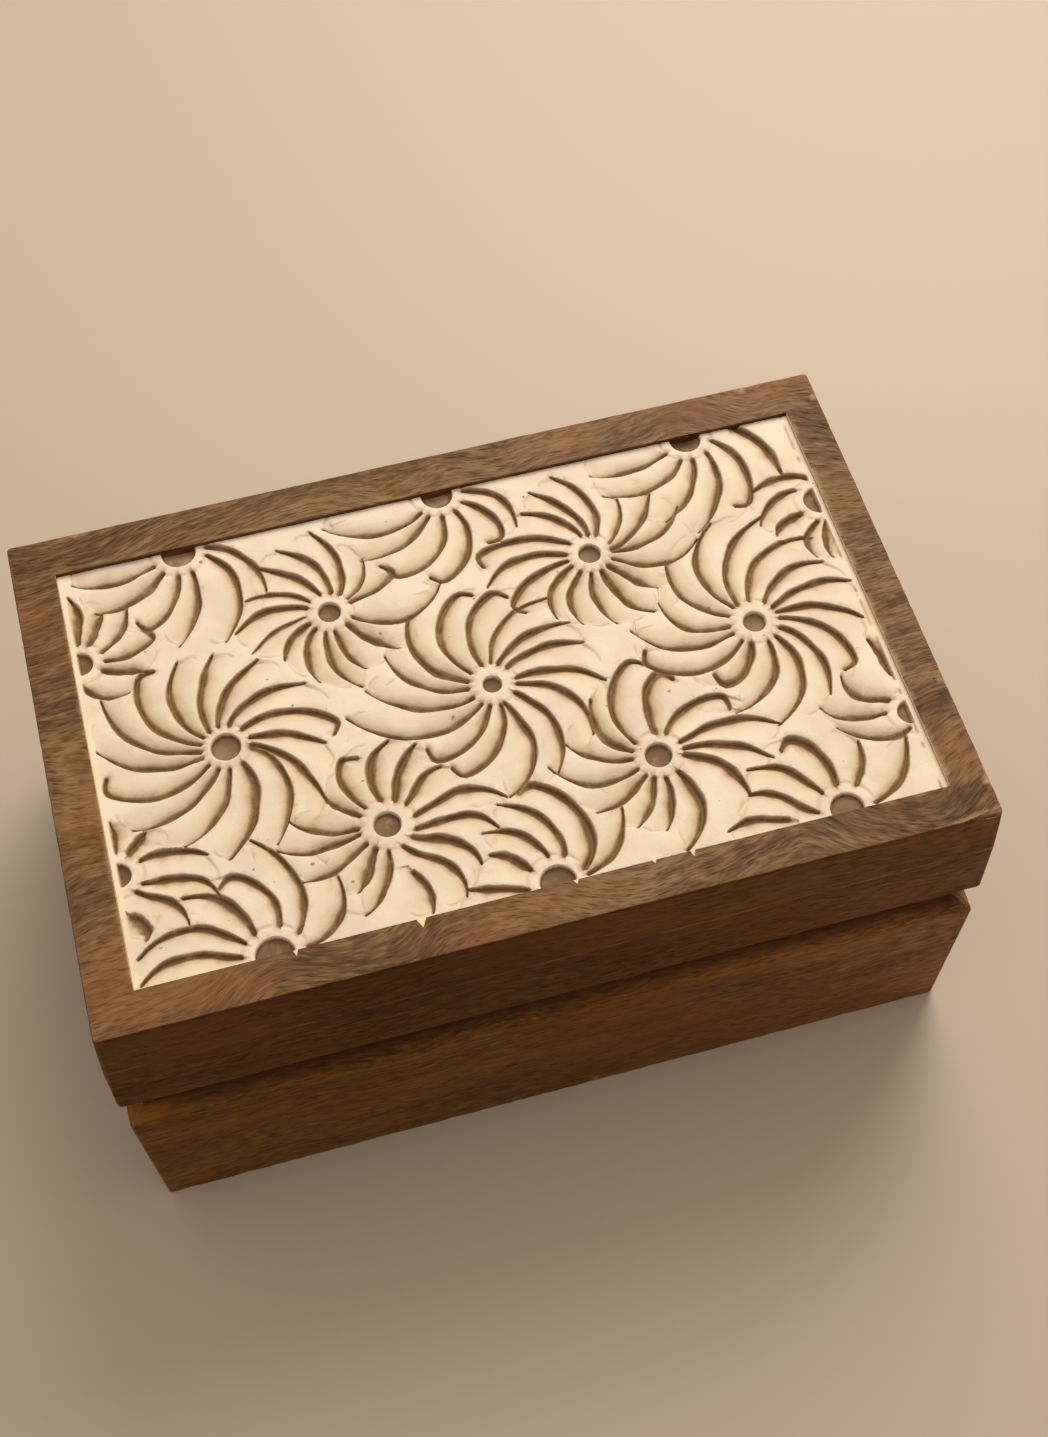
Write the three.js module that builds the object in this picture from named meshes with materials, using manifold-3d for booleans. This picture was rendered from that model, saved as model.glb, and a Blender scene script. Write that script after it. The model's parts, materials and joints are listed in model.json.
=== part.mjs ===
// Carved wooden box: a mitred base, a hinged lid with a sunk field, and two brass butt hinges.
// Millimetres, +Z up. X runs along the width, -Y is the front and +Y is the hinge side.
// The origin is the centre of the face that the box stands on.

import * as THREE from 'three';
import { mergeVertices } from 'three/addons/utils/BufferGeometryUtils.js';
import Module from 'manifold-3d';

const wasm = await Module();
wasm.setup();

// Base, measured over its widest line
const baseWidth = 151.4;
const baseDepth = 100.2;
const baseHeight = 40.8;
const baseWall = 9;
const baseFootTaper = 0.7;
const baseBevelHeight = 3;
const baseBevelInset = 3.1;
const bottomThickness = 5;
const bottomRebate = 4.5;

// Lid, measured over its widest line, which stands past the base at each end
const lidEndReach = 0.6;
const lidHeight = 30.2;
const lidWall = 9;
const lidTaper = 0.85;
const lidSwellShare = 0.3;
const lidSwellHeightShare = 0.55;
const lidChamferHeight = 4.2;
const lidChamferInset = 2.6;
const lidFrontReveal = 1.1;
const lidArris = 0.7;
const topBoardThickness = 12;

// Carved panel in its sunk field
const panelThickness = 4;
const panelSink = 0.8;
const fieldMarginLeft = 7.65;
const fieldMarginRight = 6.75;
const fieldMarginFront = 7.1;
const fieldMarginBack = 8.1;

// Carving in the panel: flowers with a sunk disc, and curved cuts that hollow each petal on one side
const borderWidth = 1;
const frontBorderWidth = 0.45;
const discDepth = 1;
const cutDepth = 1.05;
const cutSteepReach = 0.5;
const cutHollowReach = 1.7;
const cutStartOffset = 0.15;
const cutProud = 0.3;
const readingRadius = 5;
const layoutWidth = 136.5;
const layoutDepth = 82.2;
const layoutCentreX = 0.45;
const layoutCentreY = 0.05;

// The cross-section of a cut along its length, as shares of its full depth and reaches
const cutSections = [
  { alongShare: 0, depthShare: 0.75, steepShare: 0.9, hollowShare: 0.4 },
  { alongShare: 0.35, depthShare: 1, steepShare: 1, hollowShare: 1 },
  { alongShare: 0.7, depthShare: 0.9, steepShare: 0.9, hollowShare: 1 },
  { alongShare: 1, depthShare: 0.35, steepShare: 0.45, hollowShare: 0.35 },
];

// Each cut: its bearing in degrees at the reading radius, half way and at its tip, then the tip's radius,
// then the radius at which it begins where that isn't the ring. A swirl of -1 turns clockwise outwards.
const flowers = [
  {
    x: -45.45, y: -1, disc: 5, ring: 8.1, swirl: -1,
    cuts: [
      [10, -1, -12, 16.5], [40, 21, 1, 19.3], [71, 50, 31, 17.6], [95, 78, 62, 17.6],
      [119, 101, 87, 18.5], [140, 127, 106, 19.2], [158, 148, 125, 21.4], [176, 164, 143, 23.6],
      [195, 184, 168, 21.4], [220, 210, 190, 21.4], [242, 230, 214, 20.9], [267, 256, 240, 19.2],
      [301, 282, 262, 20.9], [343, 313, 284, 20.6], [350, 330, 314, 20.3],
    ],
  },
  {
    x: -22.75, y: 21, disc: 3.9, ring: 7.8, swirl: 1,
    cuts: [
      [14, 15, 22, 14], [28, 36, 49, 12.5], [53, 70, 88, 17.5], [76, 92, 111, 16.4],
      [102, 117, 129, 16.2], [132, 141, 155, 14.8], [152, 162, 179, 16.4], [180, 188, 198, 15.3],
      [199, 206, 217, 12], [221, 233, 250, 14.2], [250, 260, 276, 16.4], [271, 276, 284, 13.3],
      [305, 307, 313, 14.2], [330, 336, 361, 20],
    ],
  },
  {
    x: 0.95, y: -1, disc: 3.2, ring: 8, swirl: -1,
    cuts: [
      [5, 0, -12, 19.2], [38, 27, 14, 17.6], [60, 45, 29, 18.1], [80, 68, 48, 19.8],
      [103, 96, 76, 19.2], [133, 122, 95, 19.8], [157, 146, 124, 19.8], [179, 167, 149, 19.2],
      [205, 187, 169, 21.4], [229, 208, 181, 25.3], [250, 241, 224, 17.8], [276, 262, 242, 18.7],
      [286, 286, 264, 22], [321, 310, 289, 20.3], [348, 339, 316, 19.6],
    ],
  },
  {
    x: -22.65, y: -22.6, disc: 4.5, ring: 9.1, swirl: -1,
    cuts: [
      [6, 14, 0, 20], [37, 43, 38, 13.7], [64, 66, 60, 15.5], [93, 94, 78, 15.6],
      [125, 123, 110, 14.7], [146, 145, 139, 11.4], [176, 173, 162, 16.4], [188, 189, 181, 18.1],
      [212, 212, 204, 16.7], [235, 238, 237, 12.7], [261, 257, 246, 16.4], [283, 286, 282, 17.6, 9.8],
      [290, 309, 301, 18.4], [319, 330, 321, 16.9], [338, 353, 344, 18.1],
    ],
  },
  {
    x: 24.65, y: 20.8, disc: 3.9, ring: 7.9, swirl: 1,
    cuts: [
      [2, 20, 35, 17.5], [21, 36, 50, 12.8], [57, 74, 95, 18.1], [78, 97, 112, 17],
      [97, 112, 127, 14.8], [133, 149, 165, 20], [164, 168, 185, 19.2], [185, 191, 203, 17.8],
      [205, 212, 230, 14.8], [230, 233, 248, 14.8], [256, 260, 271, 15.3], [283, 284, 295, 16.4],
      [307, 308, 312, 13.7], [329, 333, 352, 19.2], [351, 360, 377, 19],
    ],
  },
  {
    x: 24.2, y: -22, disc: 4.5, ring: 8.4, swirl: -1,
    cuts: [
      [20, 15, 2, 21.4], [58, 47, 31, 16.4], [83, 85, 74, 16.4], [132, 115, 90, 19.2],
      [155, 143, 122, 15.3], [176, 169, 158, 15.3], [202, 194, 173, 18.3], [225, 221, 212, 14.8],
      [246, 246, 240, 13.9], [270, 267, 259, 13.9], [300, 291, 269, 18.1], [346, 336, 319, 16.4],
      [363, 355, 344, 18.9],
    ],
  },
  {
    x: 48.3, y: -0.9, disc: 3.9, ring: 8.6, swirl: -1,
    cuts: [
      [12, 2, -12, 18.7], [29, 24, 12, 19.2], [51, 47, 31, 17.8], [84, 70, 44, 21.2],
      [112, 93, 69, 22.6], [126, 118, 93, 22], [150, 144, 124, 19.8], [177, 174, 153, 16.8],
      [198, 190, 171, 21.4], [225, 214, 190, 21.2], [246, 245, 232, 14.2], [283, 268, 243, 18.7],
      [306, 291, 264, 20.9], [331, 315, 295, 18.9], [355, 341, 320, 18.9],
    ],
  },
  {
    x: -46, y: 40.75, disc: 6, ring: 9.6, swirl: -1,
    cuts: [
      [202, 198, 187, 19.2], [229, 223, 210, 18.3], [261, 256, 243, 17], [289, 276, 261, 19.8],
      [340, 313, 284, 21.2], [361, 341, 319, 18.1],
    ],
  },
  {
    x: 1.55, y: 40.75, disc: 5.6, ring: 9.2, swirl: -1,
    cuts: [
      [221, 206, 186, 21.4], [239, 229, 213, 19.2], [269, 260, 236, 19.2], [301, 286, 262, 19.2],
      [327, 323, 308, 15.2], [357, 346, 321, 15.9],
    ],
  },
  {
    x: 48.85, y: 40.8, disc: 5.6, ring: 9.2, swirl: -1,
    cuts: [
      [208, 201, 191, 19.3], [245, 227, 206, 19.8], [270, 258, 243, 18.7], [306, 281, 260, 21],
      [343, 317, 293, 18.4], [361, 340, 322, 18.7, 10],
    ],
  },
  {
    x: -45.15, y: -40.8, disc: 6.5, ring: 10.2, swirl: 1,
    cuts: [
      [2, 14, 39, 16.5], [33, 61, 88, 21], [69, 82, 104, 16.4], [116, 115, 130, 18.4],
      [141, 143, 165, 21.5], [167, 164, 178, 21.5],
    ],
  },
  {
    x: 1.6, y: -40.3, disc: 6, ring: 9.6, swirl: 1,
    cuts: [
      [1, 16, 36, 17], [14, 50, 86, 18.7], [62, 83, 108, 17.2], [94, 107, 127, 15],
      [136, 134, 139, 11.8], [178, 171, 170, 14.5],
    ],
  },
  {
    x: 51.2, y: -40.05, disc: 5.6, ring: 9.2, swirl: 1,
    cuts: [
      [-2, 17, 38, 18], [50, 54, 61, 12.8], [91, 93, 107, 16], [128, 126, 139, 17.4],
      [172, 153, 155, 16], [176, 172, 176, 20, 10],
    ],
  },
  {
    x: -66.65, y: 21.95, disc: 4.5, ring: 8.2, swirl: 1,
    cuts: [
      [20, 31, 45, 14], [-7, -2, 8, 13.5], [58, 59, 60, 11], [84, 82, 88, 14], [268, 287, 310, 10.5],
      [328, 334, 338, 11.5],
    ],
  },
  {
    x: -67, y: -20.1, disc: 4.4, ring: 8.2, swirl: -1,
    cuts: [
      [24, 13, 1, 14.5], [55, 53, 51, 8.5], [308, 318, 311, 14.8], [332, 344, 334, 17],
      [280, 286, 283, 12.4, 8], [86, 87, 88, 9.8],
    ],
  },
  {
    x: 68.1, y: 21.1, disc: 5.6, ring: 9, swirl: 1,
    cuts: [
      [92, 128, 157, 12.3], [139, 166, 190, 12], [204, 201, 207, 11], [244, 236, 247, 12.5],
      [264, 257, 261, 12.5],
    ],
  },
  {
    x: 67.9, y: -25.35, disc: 4.4, ring: 8, swirl: -1,
    cuts: [
      [94, 95, 97, 15.5, 8], [138, 146, 134, 13], [171, 173, 163, 15], [246, 206, 180, 12.8, 3.4],
      [227, 243, 229, 18.9],
    ],
  },
];

// Upright corners
const cornerRadius = 0.8;

// Butt hinges
const hingeSetIn = 30;
const hingeLength = 18;
const hingeAxisInset = 2.7;
const leafThickness = 0.8;
const leafReach = 4.9;
const barrelRadius = 1.5;
const pinRadius = 0.6;
const middleKnuckleLength = 6;

// Countersunk screws
const screwEndMargin = 3.5;
const screwHeadRadius = 1.3;
const screwShankRadius = 0.65;
const screwLength = 7;
const screwTipLength = 1.6;

// Clearances
const glueLine = 0.12;
const fitGap = 0.15;
const leafGap = 0.3;
const knuckleGap = 0.3;
const barrelGap = 0.3;
const cutOverrun = 2;

// Facets
const cornerSteps = 3;
const arrisSteps = 3;
const roundSides = 20;
const screwSides = 12;
const discSides = 14;

// Places worked out from the sizes
const seamZ = baseHeight;
const topZ = baseHeight + lidHeight;
const lidWidth = baseWidth + 2 * lidEndReach;
const backY = baseDepth / 2;
const lidDepth = baseDepth - lidFrontReveal;
const lidCentreY = backY - lidDepth / 2;
const topBoardZ = topZ - topBoardThickness;
const hingeY = backY - hingeAxisInset;
const screwSpacing = hingeLength - 2 * screwEndMargin;
const screwY = hingeY - (leafReach + barrelRadius + barrelGap) / 2;

const materials = {
  wood: () => new THREE.MeshStandardMaterial({ color: 0x77593e, roughness: 0.55, metalness: 0 }),
  darkWood: () => new THREE.MeshStandardMaterial({ color: 0x5d422b, roughness: 0.6, metalness: 0 }),
  paint: () => new THREE.MeshStandardMaterial({ color: 0xefdcc2, roughness: 0.65, metalness: 0 }),
  brass: () => new THREE.MeshStandardMaterial({ color: 0xb08d4a, roughness: 0.35, metalness: 1 }),
};

// A closed geometry as a solid that can be cut and joined.
function solid(geometry) {
  const bare = geometry.clone();
  bare.deleteAttribute('normal');
  bare.deleteAttribute('uv');
  const merged = mergeVertices(bare);
  const vertProperties = new Float32Array(merged.attributes.position.array);
  const triVerts = new Uint32Array(merged.index.array);
  return new wasm.Manifold(new wasm.Mesh({ numProp: 3, vertProperties, triVerts }));
}

// A cut solid as a named piece with a finish.
function piece(name, body, material) {
  const { vertProperties, triVerts } = body.getMesh();
  const geometry = new THREE.BufferGeometry();
  geometry.setAttribute('position', new THREE.BufferAttribute(new Float32Array(vertProperties), 3));
  geometry.setIndex(new THREE.BufferAttribute(new Uint32Array(triVerts), 1));
  geometry.computeVertexNormals();
  const mesh = new THREE.Mesh(geometry, material);
  mesh.name = name;
  return mesh;
}

// A flat outline raised from one level to another, with both faces exactly on their level.
function prism(points, lowZ, highZ) {
  const geometry = new THREE.ExtrudeGeometry(new THREE.Shape(points), {
    depth: highZ - lowZ,
    bevelEnabled: false,
  });
  const position = geometry.attributes.position;
  for (let i = 0; i < position.count; i += 1) {
    position.setZ(i, position.getZ(i) > 0 ? highZ : lowZ);
  }
  return solid(geometry);
}

function rectangle(lowX, highX, lowY, highY) {
  return [
    new THREE.Vector2(lowX, lowY),
    new THREE.Vector2(highX, lowY),
    new THREE.Vector2(highX, highY),
    new THREE.Vector2(lowX, highY),
  ];
}

function block(lowX, highX, lowY, highY, lowZ, highZ) {
  return prism(rectangle(lowX, highX, lowY, highY), lowZ, highZ);
}

// The points of a rectangle with rounded corners, anticlockwise from above.
function roundedOutline(halfWidth, halfDepth, radius) {
  const shape = new THREE.Shape();
  const x = halfWidth - radius;
  const y = halfDepth - radius;
  shape.absarc(x, -y, radius, -Math.PI / 2, 0, false);
  shape.absarc(x, y, radius, 0, Math.PI / 2, false);
  shape.absarc(-x, y, radius, Math.PI / 2, Math.PI, false);
  shape.absarc(-x, -y, radius, Math.PI, Math.PI * 1.5, false);
  return shape.getPoints(cornerSteps);
}

// A solid through rounded outlines, one for each level, inset from the widest one.
function loft(width, depth, centreY, levels) {
  const rings = levels.map(({ inset }) => {
    return roundedOutline(width / 2 - inset, depth / 2 - inset, cornerRadius);
  });
  const count = rings[0].length;
  const vertices = [];
  rings.forEach((ring, level) => {
    ring.forEach((point) => vertices.push(point.x, point.y + centreY, levels[level].z));
  });
  const faces = [];
  for (let level = 0; level + 1 < rings.length; level += 1) {
    for (let i = 0; i < count; i += 1) {
      const a = level * count + i;
      const b = level * count + ((i + 1) % count);
      faces.push(a, b, b + count, a, b + count, a + count);
    }
  }
  const last = (rings.length - 1) * count;
  for (let i = 1; i + 1 < count; i += 1) {
    faces.push(0, i + 1, i);
    faces.push(last, last + i, last + i + 1);
  }
  const geometry = new THREE.BufferGeometry();
  geometry.setAttribute('position', new THREE.Float32BufferAttribute(vertices, 3));
  geometry.setIndex(faces);
  return solid(geometry);
}

// The outside of the base: it narrows to its foot and is bevelled below the seam.
function baseForm() {
  return loft(baseWidth, baseDepth, 0, [
    { z: 0, inset: baseFootTaper },
    { z: seamZ - baseBevelHeight, inset: 0 },
    { z: seamZ, inset: baseBevelInset },
  ]);
}

// The outside of the lid: chamfered above the seam, swelling a little, with an eased top edge.
function lidForm() {
  const upright = lidHeight - lidChamferHeight - lidArris;
  const levels = [
    { z: seamZ, inset: lidChamferInset },
    { z: seamZ + lidChamferHeight, inset: 0 },
    { z: seamZ + lidChamferHeight + upright * lidSwellHeightShare, inset: lidTaper * lidSwellShare },
  ];
  for (let step = 0; step <= arrisSteps; step += 1) {
    const turn = (step / arrisSteps) * (Math.PI / 2);
    levels.push({
      z: topZ - lidArris * (1 - Math.sin(turn)),
      inset: lidTaper + lidArris * (1 - Math.cos(turn)),
    });
  }
  return loft(lidWidth, lidDepth, lidCentreY, levels);
}

// The four outlines that a mitred frame's boards fill, seen from above.
function mitredOutlines(width, depth, centreY, wall) {
  const outerX = width / 2 + cutOverrun;
  const outerY = depth / 2 + cutOverrun;
  const innerX = width / 2 - wall;
  const innerY = depth / 2 - wall;
  const shift = glueLine * Math.SQRT1_2;
  const outline = (corners) => corners.map(([x, y]) => new THREE.Vector2(x, y + centreY));
  return {
    front: outline([
      [-outerX + shift, -outerY],
      [outerX - shift, -outerY],
      [innerX - shift, -innerY],
      [-innerX + shift, -innerY],
    ]),
    back: outline([
      [-innerX + shift, innerY],
      [innerX - shift, innerY],
      [outerX - shift, outerY],
      [-outerX + shift, outerY],
    ]),
    left: outline([
      [-outerX, -outerY + shift],
      [-innerX, -innerY + shift],
      [-innerX, innerY - shift],
      [-outerX, outerY - shift],
    ]),
    right: outline([
      [innerX, -innerY + shift],
      [outerX, -outerY + shift],
      [outerX, outerY - shift],
      [innerX, innerY - shift],
    ]),
  };
}

// A cylinder along X, centred on the hinge axis.
function rodAlongX(radius, lowX, highX, sides) {
  const geometry = new THREE.CylinderGeometry(radius, radius, highX - lowX, sides);
  geometry.rotateZ(Math.PI / 2);
  geometry.translate((lowX + highX) / 2, hingeY, seamZ);
  return solid(geometry);
}

// A leaf lies below the seam on the base and above it on the lid.
function leafLevels(side) {
  const inner = seamZ + (side * leafGap) / 2;
  const outer = inner + side * leafThickness;
  return { inner, outer, low: Math.min(inner, outer), high: Math.max(inner, outer) };
}

// The spans along X that a leaf's own knuckles take, and those of the other leaf.
function knuckleSpans(centreX, side) {
  const half = hingeLength / 2;
  const middle = middleKnuckleLength / 2;
  const middleSpan = [[centreX - middle, centreX + middle]];
  const outerSpans = [
    [centreX - half, centreX - middle - knuckleGap],
    [centreX + middle + knuckleGap, centreX + half],
  ];
  return side > 0 ? { own: middleSpan, other: outerSpans } : { own: outerSpans, other: middleSpan };
}

// The outline of a countersunk screw, from its flat head down to its point.
function screwProfile(grow) {
  const headDepth = leafThickness;
  return [
    new THREE.Vector2(0, -screwLength - grow),
    new THREE.Vector2(screwShankRadius + grow, -screwLength + screwTipLength - grow),
    new THREE.Vector2(screwShankRadius + grow, -headDepth),
    new THREE.Vector2(screwHeadRadius + grow, 0),
    new THREE.Vector2(0, 0),
  ];
}

// A screw, or the hole that it sits in, with its head flush in a leaf.
function screwForm(x, side, grow) {
  const geometry = new THREE.LatheGeometry(screwProfile(grow), screwSides);
  geometry.rotateX(side > 0 ? -Math.PI / 2 : Math.PI / 2);
  geometry.translate(x, screwY, leafLevels(side).inner);
  return solid(geometry);
}

function screwPlaces(centreX) {
  return [centreX - screwSpacing / 2, centreX + screwSpacing / 2];
}

const hingeCentres = { left: hingeSetIn - baseWidth / 2, right: baseWidth / 2 - hingeSetIn };

// The room that a hinge's leaf, barrel and screws take out of a board.
function hingePocket(centreX, side) {
  const half = hingeLength / 2 + fitGap;
  const { outer } = leafLevels(side);
  const beyond = seamZ - side * cutOverrun;
  let room = block(
    centreX - half,
    centreX + half,
    hingeY - leafReach - fitGap,
    backY + cutOverrun,
    Math.min(outer, beyond),
    Math.max(outer, beyond),
  );
  room = room.add(rodAlongX(barrelRadius + barrelGap, centreX - half, centreX + half, roundSides));
  screwPlaces(centreX).forEach((x) => {
    room = room.add(screwForm(x, side, fitGap));
  });
  return room;
}

function leaf(centreX, side) {
  const half = hingeLength / 2;
  const { low, high } = leafLevels(side);
  const { own, other } = knuckleSpans(centreX, side);
  let body = block(centreX - half, centreX + half, hingeY - leafReach, hingeY, low, high);
  other.forEach(([start, end]) => {
    const lowX = start - knuckleGap;
    const highX = end + knuckleGap;
    body = body.subtract(rodAlongX(barrelRadius + barrelGap, lowX, highX, roundSides));
  });
  own.forEach(([start, end]) => {
    body = body.add(rodAlongX(barrelRadius, start, end, roundSides));
  });
  const bore = pinRadius + fitGap;
  body = body.subtract(rodAlongX(bore, centreX - half - cutOverrun, centreX + half + cutOverrun, roundSides));
  screwPlaces(centreX).forEach((x) => {
    body = body.subtract(screwForm(x, side, fitGap));
  });
  return body;
}

function hinge(label, centreX) {
  const group = new THREE.Group();
  const half = hingeLength / 2;
  group.add(piece(`${label}_hinge_base_leaf`, leaf(centreX, -1), materials.brass()));
  group.add(piece(`${label}_hinge_lid_leaf`, leaf(centreX, 1), materials.brass()));
  const pin = rodAlongX(pinRadius, centreX - half, centreX + half, roundSides);
  group.add(piece(`${label}_hinge_pin`, pin, materials.brass()));
  [['base', -1], ['lid', 1]].forEach(([part, side]) => {
    screwPlaces(centreX).forEach((x, index) => {
      const name = `${label}_hinge_${part}_screw_${index + 1}`;
      group.add(piece(name, screwForm(x, side, 0), materials.brass()));
    });
  });
  return group;
}

// The bottom board lies in a rebate that runs round the foot of the four base boards.
function bottomBoard() {
  const x = baseWidth / 2 - baseWall + bottomRebate - fitGap;
  const y = baseDepth / 2 - baseWall + bottomRebate - fitGap;
  return piece('bottom_board', block(-x, x, -y, y, 0, bottomThickness), materials.darkWood());
}

function base() {
  const group = new THREE.Group();
  const form = baseForm();
  const rebateX = baseWidth / 2 - baseWall + bottomRebate;
  const rebateY = baseDepth / 2 - baseWall + bottomRebate;
  const rebate = block(-rebateX, rebateX, -rebateY, rebateY, -cutOverrun, bottomThickness);
  const outlines = mitredOutlines(baseWidth, baseDepth, 0, baseWall);
  Object.entries(outlines).forEach(([place, outline]) => {
    let board = form.intersect(prism(outline, -cutOverrun, seamZ + cutOverrun));
    board = board.subtract(rebate);
    if (place === 'back') {
      Object.values(hingeCentres).forEach((x) => {
        board = board.subtract(hingePocket(x, -1));
      });
    }
    group.add(piece(`base_${place}_board`, board, materials.wood()));
  });
  group.add(bottomBoard());
  return group;
}

// The four edges of the sunk field in the lid's top board.
function fieldEdges() {
  const halfWidth = lidWidth / 2 - lidTaper;
  const halfDepth = lidDepth / 2 - lidTaper;
  return {
    lowX: -halfWidth + fieldMarginLeft,
    highX: halfWidth - fieldMarginRight,
    lowY: lidCentreY - halfDepth + fieldMarginFront,
    highY: lidCentreY + halfDepth - fieldMarginBack,
  };
}

function topBoard(form) {
  const reachX = lidWidth / 2 + cutOverrun;
  const lowY = lidCentreY - lidDepth / 2 - cutOverrun;
  const highY = lidCentreY + lidDepth / 2 + cutOverrun;
  const { lowX: left, highX: right, lowY: front, highY: back } = fieldEdges();
  const floorZ = topZ - panelSink - panelThickness;
  const field = block(left, right, front, back, floorZ, topZ + cutOverrun);
  const slab = block(-reachX, reachX, lowY, highY, topBoardZ, topZ + cutOverrun);
  return piece('lid_top_board', form.intersect(slab).subtract(field), materials.wood());
}

// The angle, in radians, at which a cut crosses a radius, through its three readings.
function cutBearing([start, middle, tip, reach, begin], radius) {
  const first = begin ?? readingRadius;
  const share = (radius - first) / (reach - first);
  const bend = start + tip - 2 * middle;
  return THREE.MathUtils.degToRad(start + share * (tip - start) + 2 * bend * share * (share - 1));
}

// A cut as a curved wedge: steep on the outer side of its bend and sloped into the petal on the other.
function cutForm(cut, ring, swirl) {
  const [, , , reach, begin] = cut;
  const first = begin ?? ring / 2 + cutStartOffset;
  const place = (share) => {
    const radius = first + (reach - first) * share;
    const angle = cutBearing(cut, radius);
    return new THREE.Vector2(radius * Math.cos(angle), radius * Math.sin(angle));
  };
  const points = cutSections.map(({ alongShare }) => place(alongShare));
  const vertices = [];
  cutSections.forEach(({ depthShare, steepShare, hollowShare }, index) => {
    const before = points[Math.max(index - 1, 0)];
    const after = points[Math.min(index + 1, points.length - 1)];
    const along = after.clone().sub(before).normalize();
    const hollowWay = new THREE.Vector2(-along.y, along.x).multiplyScalar(swirl);
    const depth = cutDepth * depthShare;
    const rise = (depth + cutProud) / depth;
    const steep = points[index].clone().addScaledVector(hollowWay, -cutSteepReach * steepShare * rise);
    const hollow = points[index].clone().addScaledVector(hollowWay, cutHollowReach * hollowShare * rise);
    vertices.push(points[index].x, points[index].y, -depth);
    vertices.push(steep.x, steep.y, cutProud, hollow.x, hollow.y, cutProud);
  });
  const faces = [];
  for (let i = 0; i + 3 < vertices.length / 3; i += 3) {
    for (let side = 0; side < 3; side += 1) {
      const a = i + side;
      const b = i + ((side + 1) % 3);
      faces.push(a, b, b + 3, a, b + 3, a + 3);
    }
  }
  const last = vertices.length / 3 - 3;
  faces.push(0, 2, 1, last, last + 1, last + 2);
  if (swirl > 0) faces.reverse();
  const geometry = new THREE.BufferGeometry();
  geometry.setAttribute('position', new THREE.Float32BufferAttribute(vertices, 3));
  geometry.setIndex(faces);
  return solid(geometry);
}

// All that the carver takes out for one flower, with its middle at the origin and the surface at 0.
function flowerForm({ disc, ring, swirl, cuts }) {
  const sunk = new THREE.CylinderGeometry(disc / 2, disc / 2, discDepth + cutProud, discSides);
  sunk.rotateX(Math.PI / 2);
  sunk.translate(0, 0, (cutProud - discDepth) / 2);
  return cuts.reduce((room, cut) => room.add(cutForm(cut, ring, swirl)), solid(sunk));
}

function carvedPanel() {
  const { lowX, highX, lowY, highY } = fieldEdges();
  const highZ = topZ - panelSink;
  const [left, right] = [lowX + fitGap, highX - fitGap];
  const [front, back] = [lowY + fitGap, highY - fitGap];
  const body = block(left, right, front, back, highZ - panelThickness, highZ);
  const stretchX = (highX - lowX) / layoutWidth;
  const stretchY = (highY - lowY) / layoutDepth;
  const carving = flowers.reduce((room, flower) => {
    const x = (lowX + highX) / 2 + (flower.x - layoutCentreX) * stretchX;
    const y = (lowY + highY) / 2 + (flower.y - layoutCentreY) * stretchY;
    const form = flowerForm(flower).translate([x, y, highZ]);
    return room ? room.add(form) : form;
  }, null);
  const area = block(
    left + borderWidth,
    right - borderWidth,
    front + frontBorderWidth,
    back + cutOverrun,
    highZ - panelThickness,
    highZ + cutOverrun,
  );
  return piece('carved_panel', body.subtract(carving.intersect(area)), materials.paint());
}

function lid() {
  const group = new THREE.Group();
  const form = lidForm();
  const outlines = mitredOutlines(lidWidth, lidDepth, lidCentreY, lidWall);
  Object.entries(outlines).forEach(([place, outline]) => {
    let rail = form.intersect(prism(outline, seamZ - cutOverrun, topBoardZ));
    if (place === 'back') {
      Object.values(hingeCentres).forEach((x) => {
        rail = rail.subtract(hingePocket(x, 1));
      });
    }
    group.add(piece(`lid_${place}_rail`, rail, materials.wood()));
  });
  group.add(topBoard(form));
  group.add(carvedPanel());
  return group;
}

const group = new THREE.Group();
group.add(base());
group.add(lid());
Object.entries(hingeCentres).forEach(([label, x]) => group.add(hinge(label, x)));

export default group;
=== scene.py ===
"""Carved keepsake box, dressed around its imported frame.

Lengths are in metres. X runs along the width, -Y is the front, +Y the hinge side and +Z is up. The boards, the
carved panel and the hinges are modelled here at the places that the frame gives, and each stands for its own node.
The file goes from the bench and the finishes to the boards, the hinges, the carving and the studio.
"""

import json
import logging
import math
from dataclasses import dataclass, field
from enum import Enum
from typing import Callable, Iterable, Sequence

import bmesh
import bpy
import numpy as np
from mathutils import Matrix, Quaternion, Vector

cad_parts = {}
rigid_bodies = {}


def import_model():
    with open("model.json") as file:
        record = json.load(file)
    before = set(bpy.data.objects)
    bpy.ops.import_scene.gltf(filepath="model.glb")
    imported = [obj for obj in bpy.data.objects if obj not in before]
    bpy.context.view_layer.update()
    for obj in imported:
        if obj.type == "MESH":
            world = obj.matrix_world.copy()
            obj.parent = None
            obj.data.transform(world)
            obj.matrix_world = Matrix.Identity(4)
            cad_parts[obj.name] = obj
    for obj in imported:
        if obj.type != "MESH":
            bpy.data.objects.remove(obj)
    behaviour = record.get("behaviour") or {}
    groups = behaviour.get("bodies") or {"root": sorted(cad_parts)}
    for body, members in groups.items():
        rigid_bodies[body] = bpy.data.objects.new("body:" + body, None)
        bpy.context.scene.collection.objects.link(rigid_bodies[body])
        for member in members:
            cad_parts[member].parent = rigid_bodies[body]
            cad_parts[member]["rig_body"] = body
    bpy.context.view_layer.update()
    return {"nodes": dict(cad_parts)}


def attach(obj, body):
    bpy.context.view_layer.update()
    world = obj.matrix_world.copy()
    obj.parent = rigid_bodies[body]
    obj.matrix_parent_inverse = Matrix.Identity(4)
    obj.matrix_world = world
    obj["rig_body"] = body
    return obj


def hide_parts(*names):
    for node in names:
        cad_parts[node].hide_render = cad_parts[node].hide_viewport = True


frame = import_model()

log = logging.getLogger("keepsake_box")

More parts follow.
